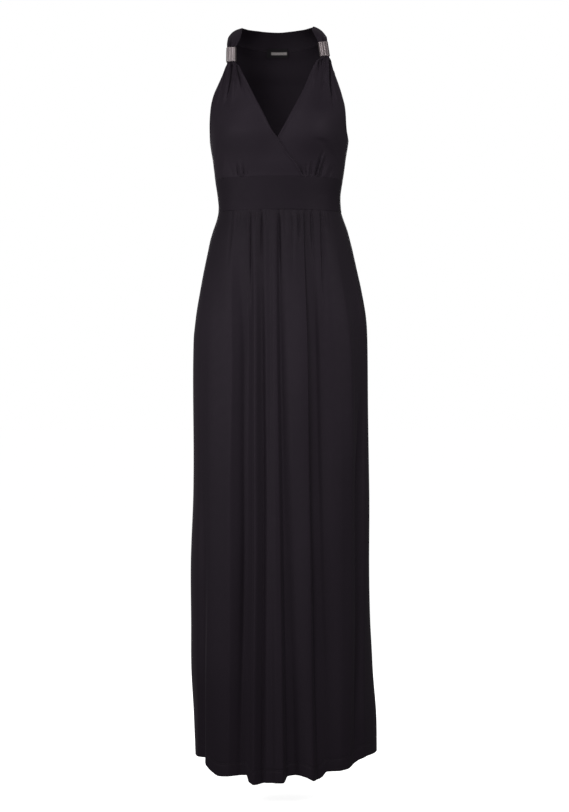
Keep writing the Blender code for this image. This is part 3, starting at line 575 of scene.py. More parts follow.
# The other materials: colours and roughness, each from the darker to the lighter spots, noise and bumps
PEWTER_DARK = (0.200, 0.171, 0.176, 1)
PEWTER_LIGHT = (0.290, 0.252, 0.258, 1)
PEWTER_ROUGHNESS = (0.40, 0.50)
PEWTER_CLOUDS = (260.0, 3.0)
PEWTER_WEAR = 500.0
PEWTER_BRUSHING = 900.0
PEWTER_STRETCH = (1.0, 1.0, 0.12)
PEWTER_BUMP = (0.10, 0.0002)
SATIN_BLACK = (0.0066, 0.0058, 0.0070, 1)
SATIN_PALE = (0.23, 0.212, 0.210, 1)
SATIN_ROUGHNESS = (0.55, 0.70)
SATIN_THREADS = 1400.0
SATIN_STRETCH = (1.0, 1.0, 0.3)
SATIN_SPECULAR = 0.08
SATIN_BUMP = (0.15, 0.0001)
THREAD_DARK = (0.010, 0.008, 0.010, 1)
THREAD_LIGHT = (0.024, 0.020, 0.024, 1)
THREAD_FIBRES = (4000.0, 1.0)
THREAD_ROUGHNESS = 0.6
THREAD_SPECULAR = 0.3
FLOOR_DARK = (0.78, 0.78, 0.78, 1)
FLOOR_LIGHT = (0.80, 0.80, 0.80, 1)
FLOOR_CLOUDS = 3.0
FLOOR_ROUGHNESS = 0.9

# The label's plain bar, in metres: its height in the frame, and where its ends and edges fade and are full
BAR_Z = -0.0379
BAR_ENDS = (0.0158, 0.0144)
BAR_EDGES = (0.0032, 0.0018)
BAR_FLOOR = 0.35

# Studio light, in metres and watts
SKY_LIGHT = 0.09
LIGHTS = table(
    "name x y z aim_z size power",
    ("front", -0.60, -1.80, -0.30, -0.60, 0.6, 9.6),
    ("top", -0.45, -1.20, 1.00, -0.30, 0.6, 7.5),
    ("side_right", -1.30, -0.7, -0.38, -0.45, 0.8, 7.2),
    ("side_left", 1.25, -1.1, 0.00, -0.50, 0.8, 11.5),
    ("back_right", -0.35, 2, 0.00, -0.50, 0.9, 12),
    ("back_left", 0.30, 2, -0.10, -0.50, 0.9, 12),
)
FLOOR_GLOW = 0.93


# ---- Curves and vectors ----


def mean_slope(before, after):
    """A curve's slope between two stretches: 0 where it turns, so that it never overshoots."""
    same = before * after > 0
    return np.where(same, 2 * before * after / np.where(same, before + after, 1.0), 0.0)


def risen(t, rise, step, start, end):
    """How far a curve has risen at a share t of a stretch, from its slopes at the start and the end."""
    return rise * t * t * (3 - 2 * t) + step * (t * (1 - t) ** 2 * start - t * t * (1 - t) * end)


def curve(xs, ys):
    """A smooth function through the points (xs, ys), with xs in any order, that never overshoots them."""
    order = np.argsort(xs)
    xs = np.asarray(xs, float)[order]
    ys = np.asarray(ys, float)[order]
    step = np.diff(xs)
    slope = np.diff(ys) / step
    tangent = np.concatenate([slope[:1], mean_slope(slope[:-1], slope[1:]), slope[-1:]])

    def value(x):
        x = np.clip(x, xs[0], xs[-1])
        k = np.clip(np.searchsorted(xs, x, side="right") - 1, 0, len(step) - 1)
        t = (x - xs[k]) / step[k]
        return ys[k] + risen(t, ys[k + 1] - ys[k], step[k], tangent[k], tangent[k + 1])

    return value


def column(rows, across, name):
    """The smooth function of one column of a table by another."""
    return curve([getattr(row, across) for row in rows], [getattr(row, name) for row in rows])


def smooth(value, start, end):
    """0 before start, 1 after end and a soft rise between; start may be the larger."""
    t = np.clip((value - start) / (end - start), 0.0, 1.0)
    return t * t * (3 - 2 * t)


def bell(away, width, power=2.0):
    return np.exp(-(np.abs(away / width) ** power))


def lines(marks):
    """Places from mark to mark, evenly divided between each two."""
    parts = [np.linspace(a, b, count, endpoint=False) for (a, count), (b, _) in zip(marks, marks[1:])]
    return np.concatenate([*parts, [marks[-1][0]]])


def mix(a, b, share):
    share = np.asarray(share)[..., None]
    return a * (1 - share) + b * share


def unit(vectors):
    return vectors / np.linalg.norm(vectors, axis=-1, keepdims=True)


def lengths_along(points):
    """The length of a line up to each of its points."""
    return np.concatenate([[0], np.cumsum(np.linalg.norm(np.diff(points, axis=0), axis=1))])


def between_points(at, lengths, points):
    """Values at some lengths along a line, from those at its points."""
    return np.stack([np.interp(at, lengths, part) for part in points.T], axis=-1)


MIDDLE = column(SECTIONS, "z", "middle")
HALF = column(SECTIONS, "z", "half")
FRONT = column(SECTIONS, "z", "front")
BACK = column(SECTIONS, "z", "back")
ARM_EDGE = {side: column(ARMHOLES, "z", side) for side in ("right", "left", "back")}
INNER_EDGE = {side: column(INNER_EDGES, "z", side) for side in ("right", "left")}
HEM_EDGE = {face: column(HEM_POINTS, "x", face) for face in ("front", "back")}


def radius(angle, z):
    """How far the section at z reaches from its middle at an angle."""
    depth = np.where(np.sin(angle) >= 0, FRONT(z), BACK(z))
    across = np.abs(np.cos(angle)) / HALF(z)
    through = np.abs(np.sin(angle)) / depth
    return (across**SQUARENESS + through**SQUARENESS) ** (-1 / SQUARENESS)


def place(angle, z, reach):
    """The point at an angle, a height and a reach from the section's middle."""
    x = MIDDLE(z) - reach * np.cos(angle)
    return np.stack(np.broadcast_arrays(x, -reach * np.sin(angle), z), axis=-1).astype(float)


def angle_at(x, z, face):
    """The angle of the section's point at x, on the front or on the back."""
    depth = FRONT(z) if face == "front" else BACK(z)
    share = np.clip(np.abs(x - MIDDLE(z)) / HALF(z), 0.0, 1.0)
    through = depth * (1 - share**SQUARENESS) ** (1 / SQUARENESS)
    angle = np.arctan2(through, MIDDLE(z) - x)
    return angle if face == "front" else -angle


def opening(z):
    """How far an armhole has opened at a height, steeply from 0 at the underarm to 1 a little above."""
    left = 1 - np.clip((z - UNDERARM) / ARMHOLE_EASE, 0.0, 1.0)
    return 1 - left**3


def unevenness(waves, points):
    """The height of the soft waves through space at some points."""
    total = 0.0
    for wave in waves:
        direction = np.array([wave.along_x, wave.along_y, wave.along_z]) * 2 * np.pi * MILLIMETRE
        total = total + wave.height * np.sin(points @ direction + wave.phase)
    return total


def seam(distance, depth=SEAM_DIP):
    """A seam's soft groove at a distance from it."""
    return -depth * bell(distance, SEAM_REACH)


def sewn_cloth(angle, z, reach):
    """The height of the top's soft waves, its seam under the bust and its side seams up to the underarm."""
    side_seam = seam(reach * np.sin(angle)) * (z < UNDERARM)
    waves = unevenness(BODICE_WAVES, place(angle, z, reach))
    return waves + seam(z - UNDERBUST_SEAM, BUST_SEAM_DIP) + side_seam


# ---- Shells ----


def surface_normals(surface, u, v):
    """Outward normals of surface(u, v), worked out from the surface itself."""
    along_u = surface(u + STEP, v) - surface(u - STEP, v)
    along_v = surface(u, v + STEP) - surface(u, v - STEP)
    normals = unit(np.cross(along_u, along_v))
    points = surface(u, v)
    outward = (normals[..., 0] * points[..., 0] + normals[..., 1] * points[..., 1]).sum()
    return normals if outward >= 0 else -normals


def link(name, data):
    """A new object of the scene that shows the data."""
    obj = bpy.data.objects.new(name, data)
    bpy.context.collection.objects.link(obj)
    return obj


def mesh_object(name, points, faces, material):
    mesh = bpy.data.meshes.new(name)
    mesh.from_pydata((points * MILLIMETRE).tolist(), [], faces)
    mesh.shade_smooth()
    mesh.materials.append(material)
    return link(name, mesh)


def quads(a, b, c, d):
    return np.stack([np.ravel(a), np.ravel(b), np.ravel(c), np.ravel(d)], axis=1)


def shell_mesh(outer, inner):
    """Vertices and faces of a closed shell between two grids of points, with a rounded rim."""
    rows, columns = outer.shape[:2]
    index = np.arange(rows * columns).reshape(rows, columns)
    under = index + index.size
    ring = np.concatenate([index[0, :-1], index[:-1, -1], index[-1, :0:-1], index[:0:-1, 0]])
    inwards = np.concatenate([index[1, :-1], index[:-1, -2], index[-2, :0:-1], index[:0:-1, 1]])
    flat_outer = outer.reshape(-1, 3)
    flat_inner = inner.reshape(-1, 3)
    middle = (flat_outer[ring] + flat_inner[ring]) / 2
    thickness = np.linalg.norm(flat_outer[ring] - flat_inner[ring], axis=1, keepdims=True)
    rim_points = middle + unit(flat_outer[ring] - flat_outer[inwards]) * thickness * RIM_ROUND
    rim = 2 * index.size + np.arange(len(ring))
    ring_next = np.roll(ring, -1)
    rim_next = np.roll(rim, -1)
    faces = np.concatenate(
        [
            quads(index[:-1, :-1], index[:-1, 1:], index[1:, 1:], index[1:, :-1]),
            quads(under[1:, :-1], under[1:, 1:], under[:-1, 1:], under[:-1, :-1]),
            quads(ring_next, ring, rim, rim_next),
            quads(rim_next, rim, ring + index.size, ring_next + index.size),
        ]
    )
    points = np.concatenate([flat_outer, flat_inner, rim_points])
    along = outer[0, 1] - outer[0, 0]
    up = outer[1, 0] - outer[0, 0]
    if np.cross(along, up) @ (outer[0, 0] - inner[0, 0]) < 0:
        faces = faces[:, ::-1]
    return points, faces


def shell(name, surface, columns, rows, thickness, material, painted_shade_wrong_side=None):
    """A shell of cloth on surface(u, v) between marks of u and v, with its own material on the wrong side
    where that is given. thickness is a number or a function of u and v."""
    columns, rows = lines(columns), lines(rows)
    u, v = np.meshgrid(columns, rows)
    outer = surface(u, v)
    normals = surface_normals(surface, u, v)
    thick = thickness(u, v) if callable(thickness) else np.full(u.shape, thickness)
    points, faces = shell_mesh(outer, outer - thick[..., None] * normals)
    obj = mesh_object(name, points, faces.tolist(), material)
    if painted_shade_wrong_side:
        obj.data.materials.append(painted_shade_wrong_side)
        panel = (len(rows) - 1) * (len(columns) - 1)
        order = np.arange(len(faces))
        obj.data.polygons.foreach_set("material_index", (order // panel == 1).astype(np.int32))
    return obj


# ---- Bodice ----


def sleeve_frame(side):
    """A sleeve's centre and its axes: across to the wearer's left, outward, and up along the strap."""
    sleeve = SLEEVES[side]
    lean_out = np.radians(sleeve.out if side == "right" else -sleeve.out)
    turn = Euler((np.radians(-sleeve.back), lean_out, np.radians(sleeve.turn)), "XYZ").to_matrix()
    axes = np.array(turn)
    return np.array([sleeve.x, sleeve.y, sleeve.z]), axes[:, 0], -axes[:, 1], axes[:, 2]


def in_sleeve(side, across, outward, along):
    """The point at those distances from a sleeve's centre."""
    centre, right, out, up = sleeve_frame(side)
    across, outward, along = np.broadcast_arrays(across, outward, along)
    return centre + across[..., None] * right + outward[..., None] * out + along[..., None] * up


def bundle(side, share, along):
    """The gathered cloth in a sleeve: a waved strip, share 0 at its outer edge and 1 at its inner one."""
    across = (share - 0.5) * BUNDLE_WIDTH * (1 if side == "right" else -1)
    outward = CLOTH / 2
    for row in BUNDLE_WAVES:
        outward = outward + row.depth * np.sin(2 * np.pi * row.waves * share + row.start)
    return in_sleeve(side, across, outward, along)


def cups(angle, z):
    """How far the cups stand out from the figure's section."""
    rise = 0.0
    for side in (-1, 1):
        middle = angle_at(side * CUP_X, CUP_Z, "front")
        tall = np.where(z > CUP_Z, CUP_ABOVE, CUP_BELOW)
        rise = rise + CUP_RISE * bell(angle - middle, CUP_TURN) * bell(z - CUP_Z, tall)
    return rise * smooth(np.minimum(angle, np.pi - angle), 0.0, CUP_SIDE_FADE)


def front_creases(side, x, z):
    """How far one front's creases stand forward."""
    height = 0.0
    for crease in RIGHT_CREASES if side == "right" else LEFT_CREASES:
        share = (z - crease.z) / (crease.end_z - crease.z)
        along = np.clip(share, 0.0, 1.0)
        middle = crease.x + (crease.end_x - crease.x) * along + 4 * crease.bend * along * (1 - along)
        slant = np.hypot(1.0, (crease.end_x - crease.x) / (crease.end_z - crease.z))
        away = (x - middle) / slant
        near = smooth(share, *CREASE_START) * smooth(share, *CREASE_FADE)
        height = height + crease.depth * near * bell(away, crease.width, CREASE_CUSP)
    return height * (SEAM_HOLD + (1 - SEAM_HOLD) * smooth(z, UNDERBUST_SEAM, UNDERBUST_SEAM + SEAM_RISE))


def layer_shift(side, x, z):
    """How far the fronts stand off the figure so that the right one clears the left. It lies on top, except
    at the underbust seam, where the left one lies lower instead."""
    tuck = smooth(z, UNDERBUST_SEAM + TUCK_HEIGHT, UNDERBUST_SEAM)
    if side == "left":
        return -(CLOTH + LAYER_GAP) * tuck * smooth(x, UNDER_TO_X, UNDER_FROM_X)
    cross = smooth(x, LIFT_FROM_X, LIFT_TO_X) * (1 - tuck)
    return (CLOTH + LAYER_GAP) * cross * smooth(z, V_POINT + LIFT_FADE, V_POINT + LIFT_HEAD)


def arm_angle(side, z):
    """The angle of a front's outer edge: the side seam up to the underarm, then the armhole."""
    turn = angle_at(MIDDLE(z) - ARM_EDGE[side](z), z, "front") * opening(z)
    return turn if side == "right" else np.pi - turn


def edge_rolls(side, share, width, z):
    """The height of a front's rolled edges: the neckline as far as it is in sight, and the armhole."""
    neckline = bell((1 - share) * width - EDGE_INSET, EDGE_REACH)
    if side == "left":
        neckline = neckline * smooth(z, V_POINT, V_POINT + UNDER_FADE)
    armhole = bell(share * width, EDGE_REACH) * smooth(z, UNDERARM, UNDERARM + ARMHOLE_EASE)
    return EDGE_ROLL * (neckline + armhole)


def front_surface(side, share, z):
    """One front: share goes from the side seam and armhole to the inner edge, z is the height."""
    start = arm_angle(side, z)
    end = angle_at(INNER_EDGE[side](z), z, "front")
    angle = start + (end - start) * share
    reach = radius(angle, z)
    x = place(angle, z, reach)[..., 0]
    height = cups(angle, z) + sewn_cloth(angle, z, reach) + layer_shift(side, x, z)
    height = height + edge_rolls(side, share, np.abs(end - start) * reach, z)
    figure = place(angle, z, reach + height)
    figure[..., 1] -= front_creases(side, x, z)
    centre = SLEEVES[side].z
    along = (z - centre) / np.cos(np.radians(SLEEVES[side].back))
    mouth = centre - SLEEVE_HEIGHT / 2
    return mix(figure, bundle(side, share, along), smooth(z, mouth - BUNDLE_EASE, mouth + BUNDLE_SET))


def make_front(side, cloth):
    rows = (*FRONT_ROWS, (SLEEVES[side].z - SLEEVE_HEIGHT / 2 + FRONT_ENTRY, 0))
    return shell("front_" + side, partial(front_surface, side), FRONT_COLUMNS, rows, CLOTH, *cloth)


def band_end(side):
    """The neckband's two last stations at a sleeve: in its mouth and inside it."""
    inner = BUNDLE_WIDTH / 2 * (1 if side == "right" else -1)
    ends = []
    for along in (SLEEVE_HEIGHT / 2, SLEEVE_HEIGHT / 2 - BAND_ENTRY):
        top = in_sleeve(side, inner, BAND_CLOTH / 2, along)
        low = in_sleeve(side, -inner, BAND_CLOTH / 2, along)
        ends.append((*top, *low, 0.0))
    return ends


BAND_ROWS_IN_SPACE = np.array([*reversed(band_end("right")), *BAND_STATIONS, *band_end("left")], float)
TOPS = BAND_ROWS_IN_SPACE[:, 0:3]
LOWS = BAND_ROWS_IN_SPACE[:, 3:6]
LENGTHS = lengths_along((TOPS + LOWS) / 2)
BAND_LENGTH = LENGTHS[-1]
TOP_EDGE = [curve(LENGTHS, TOPS[:, k]) for k in range(3)]
LOW_EDGE = [curve(LENGTHS, LOWS[:, k]) for k in range(3)]
BULGE = curve(LENGTHS, BAND_ROWS_IN_SPACE[:, 6])


def band_edge(edge, s):
    return np.stack([axis(s) for axis in edge], axis=-1)


def nape_span():
    """The lengths along the neckband between which the back is sewn to it."""
    s = np.linspace(0, BAND_LENGTH, NAPE_STEPS)
    sewn = (LOW_EDGE[1](s) > 0) & (np.abs(LOW_EDGE[0](s)) <= ARMHOLES[-1].back)
    return s[sewn][0], s[sewn][-1]


NAPE_START, NAPE_END = nape_span()


def band_surface(s, down):
    """The neckband: s is the length along it, down goes from its upper edge to its lower one."""
    top = band_edge(TOP_EDGE, s)
    low = band_edge(LOW_EDGE, s)
    radial = top + low
    radial[..., 2] = 0
    outward = unit(unit(radial) + np.array([0, 0, 1]))
    bulge = 4 * down * (1 - down) * BULGE(s)
    for pleat in BAND_PLEATS:
        from_sleeve = s - BAND_ENTRY if pleat.side == "right" else BAND_LENGTH - BAND_ENTRY - s
        near = smooth(from_sleeve, pleat.run, PLEAT_START)
        bulge = bulge + pleat.depth * near * bell(down - pleat.down, pleat.width)
    width = np.linalg.norm(low - top, axis=-1)
    sewn = smooth(s, NAPE_START - NAPE_FADE, NAPE_START) * smooth(s, NAPE_END + NAPE_FADE, NAPE_END)
    bulge = bulge + sewn * seam((1 - down) * width)
    surface = mix(top, low, down)
    return surface + (bulge + unevenness(BODICE_WAVES, surface))[..., None] * outward


def below_band(s, z):
    """The points at heights z on from the neckband's lower edge, in its slope, at lengths s along it."""
    low = band_edge(LOW_EDGE, s)
    slope = unit(low - band_edge(TOP_EDGE, s))
    return low + slope * ((low[..., 2] - z) / -slope[..., 2])[..., None]


def make_neckband(cloth):
    columns = [(share * BAND_LENGTH, count) for share, count in BAND_COLUMNS]
    return shell("neckband_cloth", band_surface, columns, BAND_ROWS, BAND_CLOTH, *cloth)


def back_surface(share, climb):
    """The back: share goes from the right to the left, climb from -1 at the underbust seam through 0 at the
    underarm to 1 at the neckband."""
    s = NAPE_START + (NAPE_END - NAPE_START) * share
    top = LOW_EDGE[2](s)
    z = UNDERARM + np.where(climb < 0, UNDERARM - UNDERBUST_SEAM, top - UNDERARM) * climb
    start = -angle_at(MIDDLE(z) - ARM_EDGE["back"](z), z, "back") * opening(z)
    angle = -(start + (np.pi - 2 * start) * share)
    reach = radius(angle, z)
    figure = place(angle, z, reach + sewn_cloth(angle, z, reach) + seam(top - z))
    return mix(below_band(s, z), figure, smooth(top - z, 0.0, BACK_EASE))


def make_back(cloth):
    return shell("back_cloth", back_surface, BACK_COLUMNS, BACK_ROWS, CLOTH, *cloth)


# ---- Waistband and skirt ----


def turn_at(share, face):
    return np.pi * share * (1 if face == "front" else -1)


def waistband_surface(face, share, down):
    """One half of the waistband: share goes from the right side seam to the left, down from seam to seam."""
    z = UNDERBUST_SEAM + (WAIST_SEAM - UNDERBUST_SEAM) * down
    angle = turn_at(share, face)
    reach = radius(angle, z)
    return place(angle, z, reach + sewn_cloth(angle, z, reach))


def make_waistband(face, cloth):
    name = "waistband_cloth_" + face
    surface = partial(waistband_surface, face)
    return shell(name, surface, WAISTBAND_COLUMNS, WAISTBAND_ROWS, CLOTH, *cloth)


def flowing(value, places, heights):
    """A smooth curve through heights at ascending places, which are lists of arrays. It never overshoots."""
    steps = [np.maximum(there - here, NARROWEST_STEP) for here, there in zip(places, places[1:])]
    slopes = [(high - low) / step for low, high, step in zip(heights, heights[1:], steps)]
    tangents = [0.0, *(mean_slope(before, after) for before, after in zip(slopes, slopes[1:])), 0.0]
    total = heights[0]
    for k, step in enumerate(steps):
        t = np.clip((value - places[k]) / step, 0.0, 1.0)
        total = total + risen(t, heights[k + 1] - heights[k], step, tangents[k], tangents[k + 1])
    return total


def long_folds(folds, face, angle, z):
    """The height of the skirt's long folds, from line to line round the panel."""
    places = [np.zeros_like(z)]
    heights = [np.zeros_like(z)]
    for fold in folds:
        x = curve(FOLD_STATIONS, (fold.waist_x, fold.hip_x, fold.knee_x, fold.hem_x))(z)
        places.append(np.abs(angle_at(x, z, face)))
        heights.append(curve(FOLD_STATIONS, (fold.waist, fold.hip, fold.knee, fold.hem))(z))
    rise = FOLD_START + (1 - FOLD_START) * smooth(z, WAIST_SEAM, WAIST_SEAM - FOLD_RISE)
    return rise * flowing(np.abs(angle), places, heights)


def waist_gather(gather, face, angle, z):
    """The height of one short gather below the waist seam."""
    drop = (WAIST_SEAM - z) / (WAIST_SEAM - gather.foot)
    middle = angle_at(gather.seam_x + (gather.foot_x - gather.seam_x) * drop, z, face)
    away = (angle - middle) * radius(middle, z)
    width = gather.width * (1 + (WAIST_SEAM - z) / GATHER_SPREAD)
    start = GATHER_START + (1 - GATHER_START) * smooth(z, WAIST_SEAM, WAIST_SEAM - GATHER_RISE)
    return gather.depth * start * smooth(drop, *GATHER_FADE) * bell(away, width, CREASE_CUSP)


def skirt_height(face, angle, z):
    """How far the skirt's folds and gathers stand out from the section. They die out at the side seams."""
    folds, gathers = {"front": (FRONT_FOLDS, FRONT_GATHERS), "back": (BACK_FOLDS, BACK_GATHERS)}[face]
    height = long_folds(folds, face, angle, z)
    height = height + sum(waist_gather(gather, face, angle, z) for gather in gathers)
    return height * smooth(np.abs(np.sin(angle)), 0.0, SIDE_FADE)


def skirt_drop(face, share):
    """The length from the waist seam down to the hem."""
    angle = turn_at(share, face)
    hem_x = place(angle, HEM, radius(angle, HEM))[..., 0]
    return WAIST_SEAM - HEM_EDGE[face](hem_x)


def skirt_surface(face, share, down):
    """One skirt panel: share goes from the right side seam to the left, down from the waist to the hem."""
    drop = skirt_drop(face, share)
    z = WAIST_SEAM + SKIRT_TUCK - (drop + SKIRT_TUCK) * down
    angle = turn_at(share, face)
    reach = radius(angle, z)
    waves = smooth(down, 0.0, SKIRT_WAVE_FADE) * unevenness(SKIRT_WAVES, place(angle, z, reach))
    free = smooth(z, WAIST_SEAM + SKIRT_TUCK, WAIST_SEAM - SKIRT_HOLD)
    height = free * skirt_height(face, angle, z) + waves - SKIRT_TUCK * (1 - free)
    above_hem = drop * (1 - down)
    dips = STITCH_DIP * sum(bell(above_hem - row, STITCH_REACH) for row in HEM_STITCH_ROWS)
    return place(angle, z, reach + height - dips + seam(reach * np.sin(angle)))


def skirt_thickness(face, share, down):
    """The cloth, and the turned hem's bulk near the edge."""
    above_hem = skirt_drop(face, share) * (1 - down)
    return CLOTH + HEM_BULK * smooth(above_hem, *HEM_THICKENS)


def make_skirt(face, cloth):
    surface = partial(skirt_surface, face)
    thickness = partial(skirt_thickness, face)
    return shell("skirt_cloth_" + face, surface, SKIRT_COLUMNS, SKIRT_ROWS, thickness, *cloth)


# ---- Sleeves and label ----


def sleeve_outline(inset, flute):
    """The outline of a sleeve's section: a flat oval with soft flutes, even along its length."""
    turn = np.linspace(0, 2 * np.pi, OUTLINE_DETAIL * SLEEVE_SIDES + 1)
    across = np.abs(np.cos(turn)) / (SLEEVE_WIDTH / 2 - inset)
    through = np.abs(np.sin(turn)) / (SLEEVE_DEPTH / 2 - inset)
    reach = (across**SLEEVE_SQUARENESS + through**SLEEVE_SQUARENESS) ** (-1 / SLEEVE_SQUARENESS)
    outline = np.stack([reach * np.cos(turn), reach * np.sin(turn)], axis=1)
    lengths = lengths_along(outline)
    share = np.arange(SLEEVE_SIDES) / SLEEVE_SIDES
    points = between_points(share * lengths[-1], lengths, outline)
    tangent = unit(np.roll(points, -1, axis=0) - np.roll(points, 1, axis=0))
    outward = np.stack([tangent[:, 1], -tangent[:, 0]], axis=1)
    groove = flute * (0.5 - 0.5 * np.cos(2 * np.pi * FLUTES * share)) ** 2
    points = points - outward * groove[:, None]
    return points[:, 0], points[:, 1]


def make_sleeve(side, material):
    """A short flat tube of fluted metal with rounded rims."""
    end = SLEEVE_HEIGHT / 2
    wall = [(0.0, along, 1.0) for along in np.linspace(RIM_START - end, end - RIM_START, SLEEVE_RINGS)]
    upper_rim = [(ring.inset, end - ring.short, ring.flute) for ring in RIM_RINGS]
    lower_rim = [(inset, -along, flute) for inset, along, flute in reversed(upper_rim)]
    rings = []
    for inset, along, flute in wall + upper_rim + lower_rim:
        across, outward = sleeve_outline(inset, FLUTE_DEPTH * flute)
        rings.append(in_sleeve(side, across, outward, along))
    index = np.arange(len(rings) * SLEEVE_SIDES).reshape(len(rings), SLEEVE_SIDES)
    following = np.roll(index, -1, axis=0)
    faces = quads(index, np.roll(index, -1, axis=1), np.roll(following, -1, axis=1), following)
    return mesh_object("fluted_sleeve_" + side, np.concatenate(rings), faces.tolist(), material)


def label_surface(across, down):
    """The label lies just inside the neckband and the back at the nape, and curls a little at its edges."""
    s = BAND_LENGTH / 2 + across * LABEL_HALF_WIDTH
    z = LABEL_TOP + (LABEL_FOOT - LABEL_TOP) * down
    outward = unit(band_edge(LOW_EDGE, s) * np.array([1.0, 1.0, 0.0]))
    curl = LABEL_CURL * down**2 * (1 + LABEL_TWIST * across)
    return below_band(s, z) - outward * (BAND_CLOTH + LABEL_GAP + curl)[..., None]


def make_label(material):
    return shell("neck_label_satin", label_surface, LABEL_COLUMNS, LABEL_ROWS, LABEL_CLOTH, material)


# ---- Stitching ----


def stitches(name, rows, material):
    """One mesh of small stitches along rows of points, each row with its normals."""
    stations = np.array([row.along for row in STITCH_PROFILE])
    thick = np.array([row.thick for row in STITCH_PROFILE]) * STITCH_RADIUS
    lift = np.array([row.lift for row in STITCH_PROFILE])
    turn = np.linspace(0, 2 * np.pi, STITCH_SIDES, endpoint=False)
    all_points = []
    for points, normals in rows:
        lengths = lengths_along(points)
        starts = np.arange(STITCH_GAP, lengths[-1] - STITCH_LENGTH, STITCH_LENGTH + STITCH_GAP)
        at = starts[:, None] + stations * STITCH_LENGTH
        line = between_points(at, lengths, points)
        up = unit(between_points(at, lengths, normals))
        along = unit(line[:, -1:] - line[:, :1])
        side = np.cross(up, along)
        centre = line + up * lift[:, None]
        ring = side[:, :, None] * np.cos(turn)[:, None] + up[:, :, None] * np.sin(turn)[:, None]
        all_points.append(centre[:, :, None] + ring * thick[:, None, None])
    points = np.concatenate(all_points)
    count = len(points)
    index = np.arange(points[..., 0].size).reshape(count, len(stations), STITCH_SIDES)
    beside = np.roll(index, -1, axis=2)
    faces = quads(index[:, :-1], beside[:, :-1], beside[:, 1:], index[:, 1:]).tolist()
    faces += index[:, 0, ::-1].tolist()
    faces += index[:, -1].tolist()
    return mesh_object(name, points.reshape(-1, 3), faces, material)


def row_on(surface, u, v):
    """Points and normals along a line on a surface."""
    return surface(u, v), surface_normals(surface, u, v)


def hem_stitches(face, material):
    share = np.linspace(*HEM_STITCH_SPAN, HEM_STITCH_POINTS)
    surface = partial(skirt_surface, face)
    rows = [row_on(surface, share, 1 - height / skirt_drop(face, share)) for height in HEM_STITCH_ROWS]
    return stitches("hem_stitches_" + face, rows, material)


# ---- Materials ----


class Nodes:
    """A material and short ways to add nodes to it."""

    def __init__(self, name):
        self.material = bpy.data.materials.new(name)
        self.material.use_nodes = True
        self.tree = self.material.node_tree
        self.shader = self.tree.nodes["Principled BSDF"]
        self.place = self.add("ShaderNodeTexCoord", {}).outputs["Object"]

    def feed(self, socket, value):
        """Give a socket a plain value, or link it to another node's output."""
        if isinstance(value, bpy.types.NodeSocket):
            self.tree.links.new(value, socket)
        else:
            socket.default_value = value

    def add(self, kind, inputs, **settings):
        node = self.tree.nodes.new(kind)
        for key, value in settings.items():
            setattr(node, key, value)
        for key, value in inputs.items():
            self.feed(node.inputs[key], value)
        return node

    def set(self, **inputs):
        for key, value in inputs.items():
            self.feed(self.shader.inputs[key.replace("_", " ")], value)

    def noise(self, scale, detail=2.0, vector=None):
        inputs = {"Vector": vector or self.place, "Scale": scale, "Detail": detail}
        return self.add("ShaderNodeTexNoise", inputs).outputs["Fac"]

    def stretched(self, scale):
        return self.add("ShaderNodeMapping", {"Vector": self.place, "Scale": scale}).outputs["Vector"]

    def between(self, fac, low, high):
        """A colour between low and high."""
        node = self.add("ShaderNodeMix", {0: fac, 6: low, 7: high}, data_type="RGBA")
        return node.outputs[2]

    def number(self, fac, low, high):
        """A number between low and high."""
        inputs = {"Value": fac, "To Min": low, "To Max": high}
        return self.add("ShaderNodeMapRange", inputs).outputs["Result"]

    def bump(self, height, strength, distance):
        inputs = {"Height": height, "Strength": strength, "Distance": distance}
        return self.add("ShaderNodeBump", inputs).outputs["Normal"]

    def math(self, operation, a, b):
        return self.add("ShaderNodeMath", {0: a, 1: b}, operation=operation).outputs[0]

    def axis(self, name):
        return self.add("ShaderNodeSeparateXYZ", {"Vector": self.place}).outputs[name]

    def ramp(self, value, start, end):
        """0 at start, 1 at end and clamped outside."""
        inputs = {"Value": value, "From Min": start, "From Max": end}
        return self.add("ShaderNodeMapRange", inputs).outputs["Result"]


def shade(colour, amount):
    return (*(amount * part for part in colour), 1)


def jersey_material(name, amount, gathered=False):
    """Matt black viscose jersey: fine knit columns, a soft bloom and a faint sheen.
    An amount below 1 makes a darker copy, with less gloss and sheen, that is painted shade. Where it is
    gathered to the waist, its colour darkens towards the seam: painted shade of its small folds."""
    nodes = Nodes(name)
    clouds = nodes.noise(*JERSEY_CLOUDS)
    colour = nodes.between(clouds, shade(JERSEY_DARK, amount), shade(JERSEY_LIGHT, amount))
    if gathered:
        # Painted shade: the colour darkens towards the waist seam and fades out below it
        top = WAIST_SEAM * MILLIMETRE
        painted_shade_fade = nodes.ramp(nodes.axis("Z"), top, top - GATHER_PAINTED_SHADE_REACH * MILLIMETRE)
        colour = nodes.between(painted_shade_fade, shade(JERSEY_MEAN, GATHER_PAINTED_SHADE * amount), colour)
    nodes.set(Base_Color=colour)
    nodes.set(Roughness=nodes.number(nodes.noise(JERSEY_PATCHES), *JERSEY_ROUGHNESS))
    knit = nodes.add("ShaderNodeTexWave", {"Vector": nodes.place, **KNIT_COLUMNS}, bands_direction="X")
    height = nodes.math("ADD", knit.outputs["Fac"], nodes.noise(*KNIT_LOOPS))
    nodes.set(Normal=nodes.bump(height, *KNIT_BUMP))
    nodes.set(Specular_IOR_Level=JERSEY_SPECULAR * amount, Specular_Tint=JERSEY_GLINT)
    nodes.set(Sheen_Weight=JERSEY_SHEEN * amount, Sheen_Roughness=JERSEY_BLOOM, Sheen_Tint=JERSEY_GLINT)
    return nodes.material


